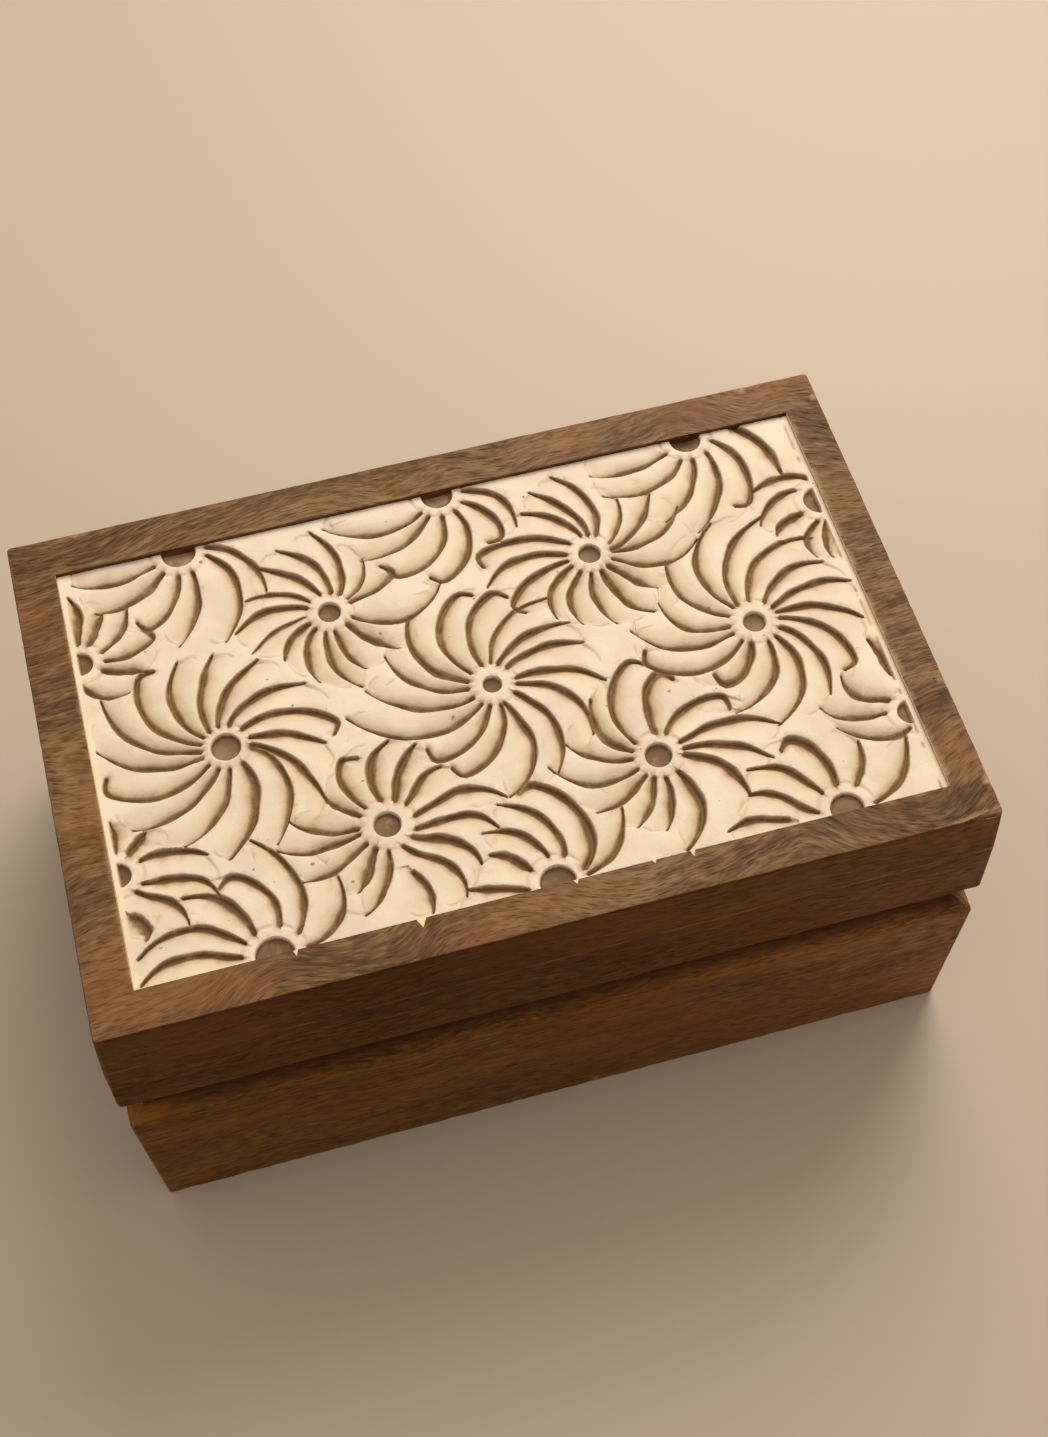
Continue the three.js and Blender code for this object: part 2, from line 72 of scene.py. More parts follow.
# A millimetre, how near counts as touching, and how far a tool reaches past what it cuts.
MM = 0.001
TOUCH = 0.01 * MM
BEYOND = 2 * MM

# The heights of the seam between the halves, of the lid's top and of the floor of the carved field.
SEAM = 40.8 * MM
TOP = 71 * MM
FIELD_FLOOR = 66.2 * MM

Colour = tuple[float, float, float]
Sizes = tuple[float, float, float]

# A range is where a change begins and where it is complete, and a fit also has what the value goes from and to.
# Steps add up, each with its share and its range.
Range = tuple[float, float]
Fit = tuple[float, float, float, float]
Steps = tuple[tuple[float, float, float], ...]

Socket = bpy.types.NodeSocket
Sockets = bpy.types.bpy_prop_collection
Test = Callable[[Vector, Vector], bool]

# How strongly a finish's fine relief bends the light.
BUMP_STRENGTH = 0.8

# An edge runs upright where its way along Z is more than the first, and level where it is less than the second.
UPRIGHT, LEVEL = 0.9, 0.5

# How far either side of the middle the hinges are.
HINGE_ASIDE = 45.7 * MM

# The carved field's front edge in the lid, and the places along it where a cut ran past it: each overcut's place
# along the width, half its width and its reach, in millimetres.
FIELD_FRONT = -41.05 * MM
OVERCUTS = ((-41.9, 0.35, 1.0), (-21.4, 0.75, 1.5), (4.3, 0.4, 0.7), (17.5, 0.3, 0.5), (24.0, 0.4, 1.0))

# Three points of the facet where the lid's front right corner is knocked off.
KNOCKED_OFF = (
    (60 * MM, -49.0 * MM, TOP), (75.6 * MM, -46.9 * MM, TOP), (76 * MM, -49.1 * MM, 68.9 * MM),
)

# How far the tip of a hooked cut curls round, in millimetres, and the shares of the usual width that some cuts have.
HOOK = 2.6
THICK, THIN, FAINT = 1.3, 0.72, 0.5


class Part(Enum):
    """What an edit-mode selection picks."""

    FACES = "FACE"
    EDGES = "EDGE"


class Side(Enum):
    """The four sides of a mitred frame, each with the way that it faces."""

    FRONT = (0, -1)
    BACK = (0, 1)
    LEFT = (-1, 0)
    RIGHT = (1, 0)


class Grain(Enum):
    """The way that a board's grain runs, as a turn about Z in degrees."""

    ALONG_WIDTH = 0
    ALONG_DEPTH = 90


def rim_at(level: float) -> Test:
    """A test for the edges that run round a form at a height."""
    return lambda middle, way: abs(middle.z - level) < TOUCH and abs(way.z) < LEVEL


def knocked_off() -> tuple[Vector, Vector]:
    """A point and the outward way of the facet where the lid's front right corner is knocked off."""
    start, top, side = (Vector(place) for place in KNOCKED_OFF)
    return start, -(top - start).cross(side - start).normalized()


class Solid:
    """A piece on the bench: one mesh object, with the steps that shape it."""

    def __init__(self, name: str, body: bpy.types.Object) -> None:
        """Takes up an object under a piece's name.

        Args:
            name: The piece's name.
            body: The object, which sits at the origin.
        """
        self.body = body
        body.name = name
        body.data.name = name

    @classmethod
    def block(cls, name: str, low: Sequence[float], high: Sequence[float]) -> "Solid":
        """Saws a block to size.

        Args:
            name: The piece's name.
            low: Its lowest corner.
            high: Its highest corner.

        Returns:
            The block.
        """
        low, high = Vector(low), Vector(high)
        bpy.ops.object.select_all(action="DESELECT")
        bpy.ops.mesh.primitive_cube_add(size=1, location=(low + high) / 2, scale=high - low)
        return cls._settled(name)

    @classmethod
    def rod(cls, name: str, start: Sequence[float], end: Sequence[float], radii: tuple[float, float],
            sides: int = 48) -> "Solid":
        """Turns a rod or a cone between two points.

        Args:
            name: The piece's name.
            start: The middle of its first end.
            end: The middle of its other end.
            radii: Its radius at each end.
            sides: How many faces go round it.

        Returns:
            The rod.
        """
        start, end = Vector(start), Vector(end)
        bpy.ops.object.select_all(action="DESELECT")
        bpy.ops.mesh.primitive_cone_add(
            vertices=sides, radius1=radii[0], radius2=radii[1], depth=(end - start).length,
            location=(start + end) / 2, rotation=(end - start).to_track_quat("Z", "Y").to_euler(),
        )
        return cls._settled(name)

    @classmethod
    def sheet(cls, name: str, low: Sequence[float], high: Sequence[float], level: float, step: float) -> "Solid":
        """Lays out an open level sheet of small squares.

        Args:
            name: The sheet's name.
            low: Its lowest corner.
            high: Its highest corner.
            level: Its height.
            step: About how much a square measures.

        Returns:
            The sheet.
        """
        size = [most - least for least, most in zip(low, high)]
        middle = [(least + most) / 2 for least, most in zip(low, high)]
        bpy.ops.object.select_all(action="DESELECT")
        bpy.ops.mesh.primitive_grid_add(
            x_subdivisions=int(size[0] / step), y_subdivisions=int(size[1] / step), size=1, location=(*middle, level),
        )
        bpy.context.active_object.scale = (*size, 1)
        return cls._settled(name)

    @classmethod
    def _settled(cls, name: str) -> "Solid":
        """Takes up a new primitive as a piece, with its place in its mesh."""
        return cls(name, bpy.context.active_object).settle()

    def settle(self) -> "Solid":
        """Puts the object's place, turn and scale into its mesh.

        Returns:
            This piece.
        """
        self._hold()
        bpy.ops.object.transform_apply(location=True, rotation=True, scale=True)
        return self

    def copy(self, name: str) -> "Solid":
        """Makes a copy with its own mesh.

        Args:
            name: The copy's name.

        Returns:
            The copy.
        """
        twin = self.body.copy()
        twin.data = self.body.data.copy()
        bpy.context.scene.collection.objects.link(twin)
        return Solid(name, twin)

    def discard(self) -> None:
        """Takes the piece off the bench."""
        bpy.data.objects.remove(self.body)

    def _hold(self) -> None:
        """Makes this piece the only one that operators act on."""
        bpy.ops.object.select_all(action="DESELECT")
        self.body.select_set(True)
        bpy.context.view_layer.objects.active = self.body

    def _edit(self, part: Part, test: Test | None) -> int:
        """Enters edit mode with some faces or edges selected.

        Args:
            part: Whether faces or edges are picked.
            test: Takes a face's middle and normal, or an edge's middle and direction. None picks all.

        Returns:
            How many are selected.
        """
        self._hold()
        bpy.ops.object.mode_set(mode="EDIT")
        bpy.ops.mesh.select_mode(type=part.value)
        bpy.ops.mesh.select_all(action="SELECT" if test is None else "DESELECT")
        mesh = bmesh.from_edit_mesh(self.body.data)
        if test is None:
            return len(mesh.faces)
        count = 0
        if part is Part.FACES:
            for face in mesh.faces:
                chosen = test(face.calc_center_median(), face.normal)
                face.select_set(chosen)
                count += chosen
        else:
            for edge in mesh.edges:
                first, second = (v.co for v in edge.verts)
                chosen = test((first + second) / 2, (second - first).normalized())
                edge.select_set(chosen)
                count += chosen
        mesh.select_flush_mode()
        bmesh.update_edit_mesh(self.body.data)
        return count

    def _done(self) -> None:
        """Leaves edit mode."""
        bpy.ops.object.mode_set(mode="OBJECT")

    def ease(self, test: Test, width: float, segments: int = 3) -> "Solid":
        """Rounds picked edges.

        Args:
            test: Picks the edges by their middle and direction.
            width: The width of the rounding.
            segments: How many faces go round it.

        Returns:
            This piece.
        """
        if self._edit(Part.EDGES, test):
            bpy.ops.mesh.bevel(offset=width, segments=segments, affect="EDGES", clamp_overlap=True)
        self._done()
        return self

    def slice(self, point: Sequence[float], normal: Sequence[float], keep: bool = True) -> "Solid":
        """Saws through the piece along a plane.

        Args:
            point: A point on the plane.
            normal: The plane's normal.
            keep: False drops what lies on the normal's side and closes the cut.

        Returns:
            This piece.
        """
        self._edit(Part.FACES, None)
        bpy.ops.mesh.bisect(plane_co=point, plane_no=normal, use_fill=not keep, clear_outer=not keep)
        self._done()
        return self

    def draw_in(self, level: float, factors: tuple[float, float], centre: Vector) -> "Solid":
        """Scales the outline at one level about an upright line.

        Args:
            level: The height of the outline.
            factors: The scale along X and Y.
            centre: A point on the line.

        Returns:
            This piece.
        """
        self._edit(Part.EDGES, rim_at(level))
        bpy.ops.transform.resize(value=(factors[0], factors[1], 1), center_override=(centre.x, centre.y, level))
        self._done()
        return self

    def cut(self, *tools: "Solid") -> "Solid":
        """Cuts other solids out of this one, which uses them up."""
        return self._combine("DIFFERENCE", tools)

    def join(self, *others: "Solid") -> "Solid":
        """Joins other solids to this one, which uses them up."""
        return self._combine("UNION", others)

    def _combine(self, operation: str, others: Iterable["Solid"]) -> "Solid":
        """Applies one boolean for each of the other solids.

        Args:
            operation: The boolean's kind.
            others: The other solids, which are used up.

        Returns:
            This piece.
        """
        for other in others:
            self.apply("BOOLEAN", operation=operation, solver="EXACT", object=other.body)
            other.discard()
        return self

    def apply(self, kind: str, **settings: object) -> "Solid":
        """Adds a modifier with its settings and applies it.

        Args:
            kind: The modifier's type.
            settings: Its settings by name.

        Returns:
            This piece.
        """
        self._hold()
        modifier = self.body.modifiers.new(kind.title(), kind)
        for name, value in settings.items():
            setattr(modifier, name, value)
        bpy.ops.object.modifier_apply(modifier=modifier.name)
        return self

    def rule(self, step: float, axes: str = "XYZ") -> "Solid":
        """Scores the piece into a grid, so that its surface can be moved a little.

        Args:
            step: The widest space between two scores.
            axes: The axes that the scores go across.

        Returns:
            This piece.
        """
        corners = [Vector(c) for c in self.body.bound_box]
        self._edit(Part.FACES, None)
        for axis in axes:
            index = "XYZ".index(axis)
            low, high = min(c[index] for c in corners), max(c[index] for c in corners)
            count = int((high - low) / step)
            normal = Vector((axis == "X", axis == "Y", axis == "Z"))
            for place in range(1, count + 1):
                bpy.ops.mesh.select_all(action="SELECT")
                bpy.ops.mesh.bisect(plane_co=normal * (low + (high - low) * place / (count + 1)), plane_no=normal)
        self._done()
        return self

    def place(self, offset: Sequence[float], turn: float = 0) -> "Solid":
        """Turns the piece about Z and moves it.

        Args:
            offset: How far it moves.
            turn: How far it turns.

        Returns:
            This piece.
        """
        self.body.rotation_euler.z = turn
        self.body.location = offset
        return self.settle()

    def stretch(self, factors: Sequence[float]) -> "Solid":
        """Scales the piece about the origin."""
        self.body.scale = factors
        return self.settle()

    def close_below(self, level: float) -> "Solid":
        """Brings an open sheet's edge straight down and closes it there.

        Args:
            level: The height of the sheet's foot.

        Returns:
            This piece.
        """
        self._hold()
        bpy.ops.object.mode_set(mode="EDIT")
        bpy.ops.mesh.select_mode(type="EDGE")
        bpy.ops.mesh.select_all(action="DESELECT")
        mesh = bmesh.from_edit_mesh(self.body.data)
        for edge in mesh.edges:
            edge.select_set(edge.is_boundary)
        bmesh.update_edit_mesh(self.body.data)
        bpy.ops.mesh.extrude_edges_move()
        bpy.ops.transform.resize(value=(1, 1, 0), center_override=(0, 0, level))
        bpy.ops.mesh.edge_face_add()
        bpy.ops.mesh.select_all(action="SELECT")
        bpy.ops.mesh.normals_make_consistent(inside=False)
        self._done()
        return self

    def points(self) -> np.ndarray:
        """Reads the mesh's points.

        Returns:
            Their places, one to a row.
        """
        places = np.empty(len(self.body.data.vertices) * 3)
        self.body.data.vertices.foreach_get("co", places)
        return places.reshape(-1, 3)

    def finish(self, material: bpy.types.Material, stands_for: str, slot: str, angle: float = 32) -> None:
        """Smooths, dresses and hands over the piece.

        Args:
            material: Its finish.
            stands_for: The frame's node that it replaces.
            slot: The record's material slot; not used.
            angle: The sharpest turn that is shaded smooth, in degrees.
        """
        self._hold()
        bpy.ops.object.shade_smooth_by_angle(angle=math.radians(angle))
        self.body.data.materials.clear()
        self.body.data.materials.append(material)
        body = frame["nodes"][stands_for]["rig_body"]
        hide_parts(stands_for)
        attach(self.body, body)
        log.info("%s: %d faces, rides on %s", self.body.name, len(self.body.data.polygons), body)


class Recipe:
    """The nodes of a finish or of a shared effect, laid out step by step."""

    def __init__(self, tree: bpy.types.NodeTree) -> None:
        """Starts on an empty node tree."""
        self.tree = tree
        tree.nodes.clear()

    def node(self, kind: str, inputs: dict | None = None, **settings: object) -> bpy.types.Node:
        """Adds a node.

        Args:
            kind: Its type without the leading ShaderNode.
            inputs: Values or sockets for its inputs, by name or number.
            settings: Its own settings by name.

        Returns:
            The node.
        """
        made = self.tree.nodes.new(kind if kind.startswith("NodeGroup") else "ShaderNode" + kind)
        for name, value in settings.items():
            setattr(made, name, value)
        for name, value in (inputs or {}).items():
            self.feed(made.inputs[name], value)
        return made

    def feed(self, socket: Socket, value: object) -> None:
        """Links a socket to another, or sets its value.

        Args:
            socket: The input.
            value: The other socket or the value.
        """
        if isinstance(value, Socket):
            self.tree.links.new(value, socket)
        elif socket.type == "RGBA" and len(value) == 3:
            socket.default_value = (*value, 1)
        else:
            socket.default_value = value

    def math(self, operation: str, *values: object, clamp: bool = False) -> Socket:
        """A math node's output for one to three values."""
        return self.node("Math", dict(enumerate(values)), operation=operation, use_clamp=clamp).outputs[0]

    def fit(self, value: object, low: float, high: float, to_low: float = 0, to_high: float = 1,
            smooth: bool = True) -> Socket:
        """Brings a value from one range to another, and holds it inside that.

        Args:
            value: The value.
            low: The start of its range.
            high: The end of its range.
            to_low: What the start becomes.
            to_high: What the end becomes.
            smooth: Whether it eases in and out.

        Returns:
            The new value's socket.
        """
        inputs = {"Value": value, "From Min": low, "From Max": high, "To Min": to_low, "To Max": to_high}
        kind = "SMOOTHSTEP" if smooth else "LINEAR"
        return self.node("MapRange", inputs, interpolation_type=kind).outputs["Result"]

    def mix(self, share: object, first: object, second: object, blend: str = "MIX") -> Socket:
        """Two colours mixed."""
        made = self.node("Mix", {0: share, 6: first, 7: second}, data_type="RGBA", blend_type=blend)
        return made.outputs[2]

    def noise(self, place: Socket, size: float | Sizes, detail: float = 3, roughness: float = 0.5) -> Socket:
        """Cloudy noise.

        Args:
            place: The coordinates.
            size: The clouds' size along each axis, or all round, in millimetres.
            detail: How many finer layers it has.
            roughness: How strong the finer layers are.

        Returns:
            The noise, from 0 to 1.
        """
        size = (size,) * 3 if isinstance(size, (int, float)) else size
        scale = tuple(1 / (MM * s) for s in size)
        spread = self.node("Mapping", {"Vector": place, "Scale": scale}, vector_type="POINT").outputs[0]
        inputs = {"Vector": spread, "Scale": 1, "Detail": detail, "Roughness": roughness}
        return self.node("TexNoise", inputs, noise_dimensions="3D").outputs["Fac"]

    def place(self) -> Socket:
        """The Object coordinates."""
        return self.node("TexCoord").outputs["Object"]

    def trait(self, name: str) -> Socket:
        """A value that the piece's own mesh carries."""
        return self.node("Attribute", attribute_type="GEOMETRY", attribute_name=name).outputs["Fac"]


class Effect:
    """A shared effect: a node group with named inputs and outputs."""

    def __init__(self, name: str, inputs: dict[str, str], outputs: dict[str, str]) -> None:
        """Makes an empty group.

        Args:
            name: The group's name.
            inputs: The kind of each input, by its name.
            outputs: The kind of each output, by its name.
        """
        self.tree = bpy.data.node_groups.new(name, "ShaderNodeTree")
        for in_out, sockets in (("INPUT", inputs), ("OUTPUT", outputs)):
            for label, kind in sockets.items():
                self.tree.interface.new_socket(label, in_out=in_out, socket_type="NodeSocket" + kind)
        self.recipe = Recipe(self.tree)
        self.given = self.recipe.node("NodeGroupInput").outputs
        self.made = self.recipe.node("NodeGroupOutput").inputs

    def put(self, name: str, value: Socket) -> None:
        """Sends a value to one of the group's outputs."""
        self.recipe.feed(self.made[name], value)

    def use(self, recipe: Recipe, inputs: dict) -> Sockets:
        """Places the group in a material.

        Args:
            recipe: The material's recipe.
            inputs: Values or sockets for its inputs, by name.

        Returns:
            Its outputs by name.
        """
        made = recipe.node("Group", None, node_tree=self.tree)
        for name, value in inputs.items():
            recipe.feed(made.inputs[name], value)
        return made.outputs


@dataclass(frozen=True)
class HardwoodGrain:
    """The shared effect of open-pored hardwood, whose grain runs along X.

    Each size is that of a noise's clouds along each axis, and swing and ripple are how far the grain moves, all in
    millimetres.
    """

    swing_size: Sizes = (36, 60, 60)
    swing: float = 38
    ripple_size: Sizes = (10, 14, 14)
    ripple: float = 1.5
    upright_straightens: float = 0.7
    upright_calms: float = 0.35
    bands_size: Sizes = (50, 6, 6)
    bands: float = 0.30
    streaks_size: Sizes = (3.2, 0.72, 0.72)
    streaks: float = 0.45
    fibres_size: Sizes = (2.2, 0.26, 0.26)
    fibres: float = 0.25
    fibres_rise: float = 0.35
    pores_size: Sizes = (2.6, 0.36, 0.36)
    pores: Range = (-0.05, 0.14)
    pores_sink: float = 0.8
    crowds_size: Sizes = (30, 5, 5)
    crowds: Fit = (0.35, 0.7, -0.05, 0.06)
    warmth_size: Sizes = (38, 21, 21)
    warmth: Range = (0.42, 0.68)

    def make(self) -> Effect:
        """Makes the node group.

        Returns:
            The effect, with the wood's tone, pores, warmth and height.
        """
        effect = Effect(
            "wood_grain",
            {"Place": "Vector", "Turn": "Vector", "Upright": "Float", "Figure": "Float", "Contrast": "Float",
             "Pore Share": "Float"},
            {"Tone": "Float", "Pores": "Float", "Warmth": "Float", "Height": "Float"},
        )
        recipe, given = effect.recipe, effect.given
        turned = recipe.node("Mapping", {"Vector": given["Place"], "Rotation": given["Turn"]}).outputs[0]
        along = self._figured(recipe, given, turned)
        fibres = recipe.noise(along, self.fibres_size, 1)
        tone = recipe.math("MULTIPLY", recipe.noise(along, self.streaks_size, 2), self.streaks)
        tone = recipe.math("MULTIPLY_ADD", recipe.noise(along, self.bands_size, 2), self.bands, tone)
        tone = recipe.math("MULTIPLY_ADD", fibres, self.fibres, tone)
        calm = recipe.math("MULTIPLY_ADD", given["Upright"], -self.upright_calms, 1)
        contrast = recipe.math("MULTIPLY", given["Contrast"], calm)
        effect.put("Tone", recipe.math("MULTIPLY_ADD", recipe.math("SUBTRACT", tone, 0.5), contrast, 0.5, clamp=True))
        crowd = recipe.fit(recipe.noise(along, self.crowds_size, 1), *self.crowds, smooth=False)
        edge = recipe.math("ADD", recipe.math("SUBTRACT", 1, given["Pore Share"]), crowd)
        pores = recipe.fit(recipe.math("SUBTRACT", recipe.noise(along, self.pores_size, 1), edge), *self.pores)
        effect.put("Pores", pores)
        effect.put("Warmth", recipe.fit(recipe.noise(turned, self.warmth_size, 1), *self.warmth))
        height = recipe.math("MULTIPLY", fibres, self.fibres_rise)
        effect.put("Height", recipe.math("MULTIPLY_ADD", pores, -self.pores_sink, height))
        return effect

    def _figured(self, recipe: Recipe, given: Sockets, turned: Socket) -> Socket:
        """Slides the grain sideways, so that it swings and ripples as it runs.

        Args:
            recipe: The group's recipe.
            given: The group's inputs.
            turned: The place, with the grain along X.

        Returns:
            The place that the grain is read at.
        """
        straight = recipe.math("MULTIPLY_ADD", given["Upright"], -self.upright_straightens, 1)
        figure = recipe.math("MULTIPLY", given["Figure"], straight)
        swing = recipe.math("SUBTRACT", recipe.noise(turned, self.swing_size, 1), 0.5)
        ripple = recipe.math("SUBTRACT", recipe.noise(turned, self.ripple_size, 1), 0.5)
        shift = recipe.math("MULTIPLY", swing, recipe.math("MULTIPLY", figure, self.swing * MM))
        shift = recipe.math("MULTIPLY_ADD", ripple, recipe.math("MULTIPLY", figure, self.ripple * MM), shift)
        rise = recipe.math("MULTIPLY", shift, given["Upright"])
        slide = recipe.node("CombineXYZ", {"Y": recipe.math("SUBTRACT", shift, rise), "Z": rise}).outputs[0]
        return recipe.node("VectorMath", {0: turned, 1: slide}, operation="ADD").outputs[0]


@dataclass(frozen=True)
class EdgeWear:
    """The shared effect that rubs arrises with handling and darkens hollows. Its sizes are in millimetres."""

    patch_size: float = 7
    patches: Range = (0.38, 0.62)
    smudge_size: float = 24
    smudges: Range = (0.35, 0.7)
    arris: Range = (0.51, 0.58)
    hollow: Range = (0.495, 0.45)

    def make(self) -> Effect:
        """Makes the node group.

        Returns:
            The effect, with where the piece is rubbed, darker in its hollows and smudged.
        """
        effect = Effect(
            "edge_wear",
            {"Place": "Vector", "Amount": "Float"},
            {"Rubbed": "Float", "Grime": "Float", "Smudge": "Float"},
        )
        recipe, given = effect.recipe, effect.given
        bend = recipe.node("NewGeometry").outputs["Pointiness"]
        patches = recipe.fit(recipe.noise(given["Place"], self.patch_size, 3, 0.7), *self.patches)
        rubbed = recipe.math("MULTIPLY", recipe.fit(bend, *self.arris), patches)
        effect.put("Rubbed", recipe.math("MULTIPLY", rubbed, given["Amount"]))
        # Darker in the concave hollows.
        effect.put("Grime", recipe.fit(bend, *self.hollow))
        effect.put("Smudge", recipe.fit(recipe.noise(given["Place"], self.smudge_size, 3), *self.smudges))
        return effect


class Finish:
    """A finish, which is laid out as a material from its own values and the shared effects."""

    name: str

    def make(self, effects: dict[str, Effect]) -> bpy.types.Material:
        """Makes the material.

        Args:
            effects: The shared effects by name.

        Returns:
            The material.
        """
        material = bpy.data.materials.new(self.name)
        material.use_nodes = True
        self.lay_out(Recipe(material.node_tree), effects)
        return material

    def lay_out(self, recipe: Recipe, effects: dict[str, Effect]) -> None:
        """Lays out the material's nodes, each finish in its own way."""
        raise NotImplementedError

    def surface(self, recipe: Recipe, colour: object, rough: object, height: object, depth: float,
                **constants: float) -> None:
        """Adds the surface shader with its bump.

        Args:
            recipe: The material's recipe.
            colour: The base colour.
            rough: The roughness.
            height: The fine relief, from 0 to 1.
            depth: How deep that relief is.
            constants: Other values of the shader, with spaces in their names as underscores.
        """
        bump = recipe.node("Bump", {"Height": height, "Distance": depth, "Strength": BUMP_STRENGTH})
        shader = recipe.node("BsdfPrincipled", {"Base Color": colour, "Roughness": rough, "Normal": bump.outputs[0]})
        for name, value in constants.items():
            shader.inputs[name.replace("_", " ")].default_value = value
        recipe.node("OutputMaterial", {"Surface": shader.outputs[0]})


@dataclass(frozen=True)
class PaintedShading:
    """Painted shade on upright faces and in the seam under the lid, and a painted highlight at the bevel's left end.
    """

    # Painted shade: the colour that the upright faces are multiplied by, darker and redder where less light falls.
    upright_shade: Colour = (0.79, 0.54, 0.14)
    # Painted light: the upright shade lightens to this towards the right end, where more light falls.
    right_end_light: Colour = (1.06, 0.84, 0.42)
    lightening_along_x: Range = (-10 * MM, 76 * MM)
    # A painted shade line under the top arris of the upright faces.
    arris: Fit = (69.4 * MM, 70.6 * MM, 0, 0.9)
    # A painted shadow next to the seam, where the lid's edge shades the bevel below it.
    seam_shadow: Colour = (0.062, 0.011, 0.0006)
    seam_level: float = SEAM
    above_seam: Fit = (1.7 * MM, 0.2 * MM, 0, 0.8)
    below_seam: Range = (-3.4 * MM, 0)
    seam_stands: Range = (0.1, 0.5)
    # A painted highlight where the left end of the base's bevel catches the light.
    bare: Colour = (0.400, 0.130, 0.010)
    lit_end: Fit = (-64 * MM, -72 * MM, 0, 0.6)
    lit_drop: float = 1.7 * MM
    lit_band: Range = (1.5 * MM, 0.7 * MM)

    def lay_on(self, recipe: Recipe, colour: Socket, axes: Sockets, upright: Socket) -> Socket:
        """Paints shade and light onto a colour.

        Args:
            recipe: The material's recipe.
            colour: The wood's colour.
            axes: The place along each axis.
            upright: How upright the face is.

        Returns:
            The colour with its painted shade and light.
        """
        # Painted shade on the upright faces, lightening towards the right end.
        painted_shading = recipe.mix(recipe.fit(axes["X"], *self.lightening_along_x), self.upright_shade, self.right_end_light)
        colour = recipe.mix(upright, colour, painted_shading, "MULTIPLY")
        # A painted shade line just under the top arris.
        line = recipe.math("MULTIPLY", upright, recipe.fit(axes["Z"], *self.arris))
        colour = recipe.mix(line, colour, self.upright_shade, "MULTIPLY")
        # A painted shadow on the upright faces near the seam, under the lid's edge.
        level = recipe.math("SUBTRACT", axes["Z"], self.seam_level)
        near = recipe.math("MULTIPLY", recipe.fit(level, *self.above_seam), recipe.fit(level, *self.below_seam))
        seam_shadowed = recipe.math("MULTIPLY", near, recipe.fit(upright, *self.seam_stands))
        colour = recipe.mix(seam_shadowed, colour, self.seam_shadow)
        # A painted highlight on the bevel's left end.
        drop = recipe.math("ABSOLUTE", recipe.math("ADD", level, self.lit_drop))
        end = recipe.fit(axes["X"], *self.lit_end)
        return recipe.mix(recipe.math("MULTIPLY", end, recipe.fit(drop, *self.lit_band)), colour, self.bare)


@dataclass(frozen=True)
class TopBoardMarks:
    """The top board's frayed corner, partly a painted highlight, and the panel's paint on the field's end walls and
    overcuts.
    """

    # Pale frayed wood along the knocked-off corner's upper edge, which is partly a painted highlight.
    frayed_highlight: Colour = (0.46, 0.29, 0.15)
    fray_size: float = 2.2
    fray: float = 1.4 * MM
    fray_band: Fit = (0.1 * MM, 0.6 * MM, 0, 0.6)
    paint: Colour = (0.900, 0.690, 0.450)
    end_facing: float = 0.7
    field_half: float = 68.8 * MM
    overlap: float = 0.05 * MM
    spread: float = 0.12

    def lay_on(self, recipe: Recipe, colour: Socket, place: Socket, facing: Sockets, upright: Socket) -> Socket:
        """Adds the marks to the board's colour.

        Args:
            recipe: The material's recipe.
            colour: The board's colour.
            place: The place.
            facing: The way that the face looks, along each axis.
            upright: How upright the face is.

        Returns:
            The marked colour.
        """
        # The frayed edge of the knocked-off corner, painted pale, partly as a highlight.
        colour = recipe.mix(self._frayed_highlight(recipe, place, upright), colour, self.frayed_highlight)
        axes = recipe.node("SeparateXYZ", {"Vector": place}).outputs
        sideways = recipe.math("GREATER_THAN", recipe.math("ABSOLUTE", facing["X"]), self.end_facing)
        inside = recipe.math("LESS_THAN", recipe.math("ABSOLUTE", axes["X"]), self.field_half)
        painted = recipe.math("MULTIPLY", sideways, inside)
        for x, half, reach in OVERCUTS:
            aside = recipe.math("ABSOLUTE", recipe.math("SUBTRACT", axes["X"], x * MM))
            room = recipe.math("MULTIPLY_ADD", aside, -reach / half, (reach + self.spread) * MM)
            over = recipe.math("SUBTRACT", FIELD_FRONT, axes["Y"])
            mark = recipe.math("LESS_THAN", over, room)
            mark = recipe.math("MULTIPLY", mark, recipe.math("GREATER_THAN", over, -self.overlap))
            painted = recipe.math("MAXIMUM", painted, mark)
        return recipe.mix(painted, colour, self.paint)

    def _frayed_highlight(self, recipe: Recipe, place: Socket, upright: Socket) -> Socket:
        """How far the wood is painted pale above the knocked-off corner's facet, as frayed wood and partly a
        highlight.

        Args:
            recipe: The material's recipe.
            place: The place.
            upright: How upright the face is.

        Returns:
            The share of the pale frayed edge.
        """
        start, way = knocked_off()
        height = recipe.node("VectorMath", {0: place, 1: way}, operation="DOT_PRODUCT").outputs["Value"]
        above = recipe.math("SUBTRACT", height, start.dot(way))
        reach = recipe.math("MULTIPLY_ADD", recipe.noise(place, self.fray_size, 2), self.fray, above)
        return recipe.math("MULTIPLY", recipe.fit(reach, *self.fray_band), recipe.math("SUBTRACT", 1, upright))


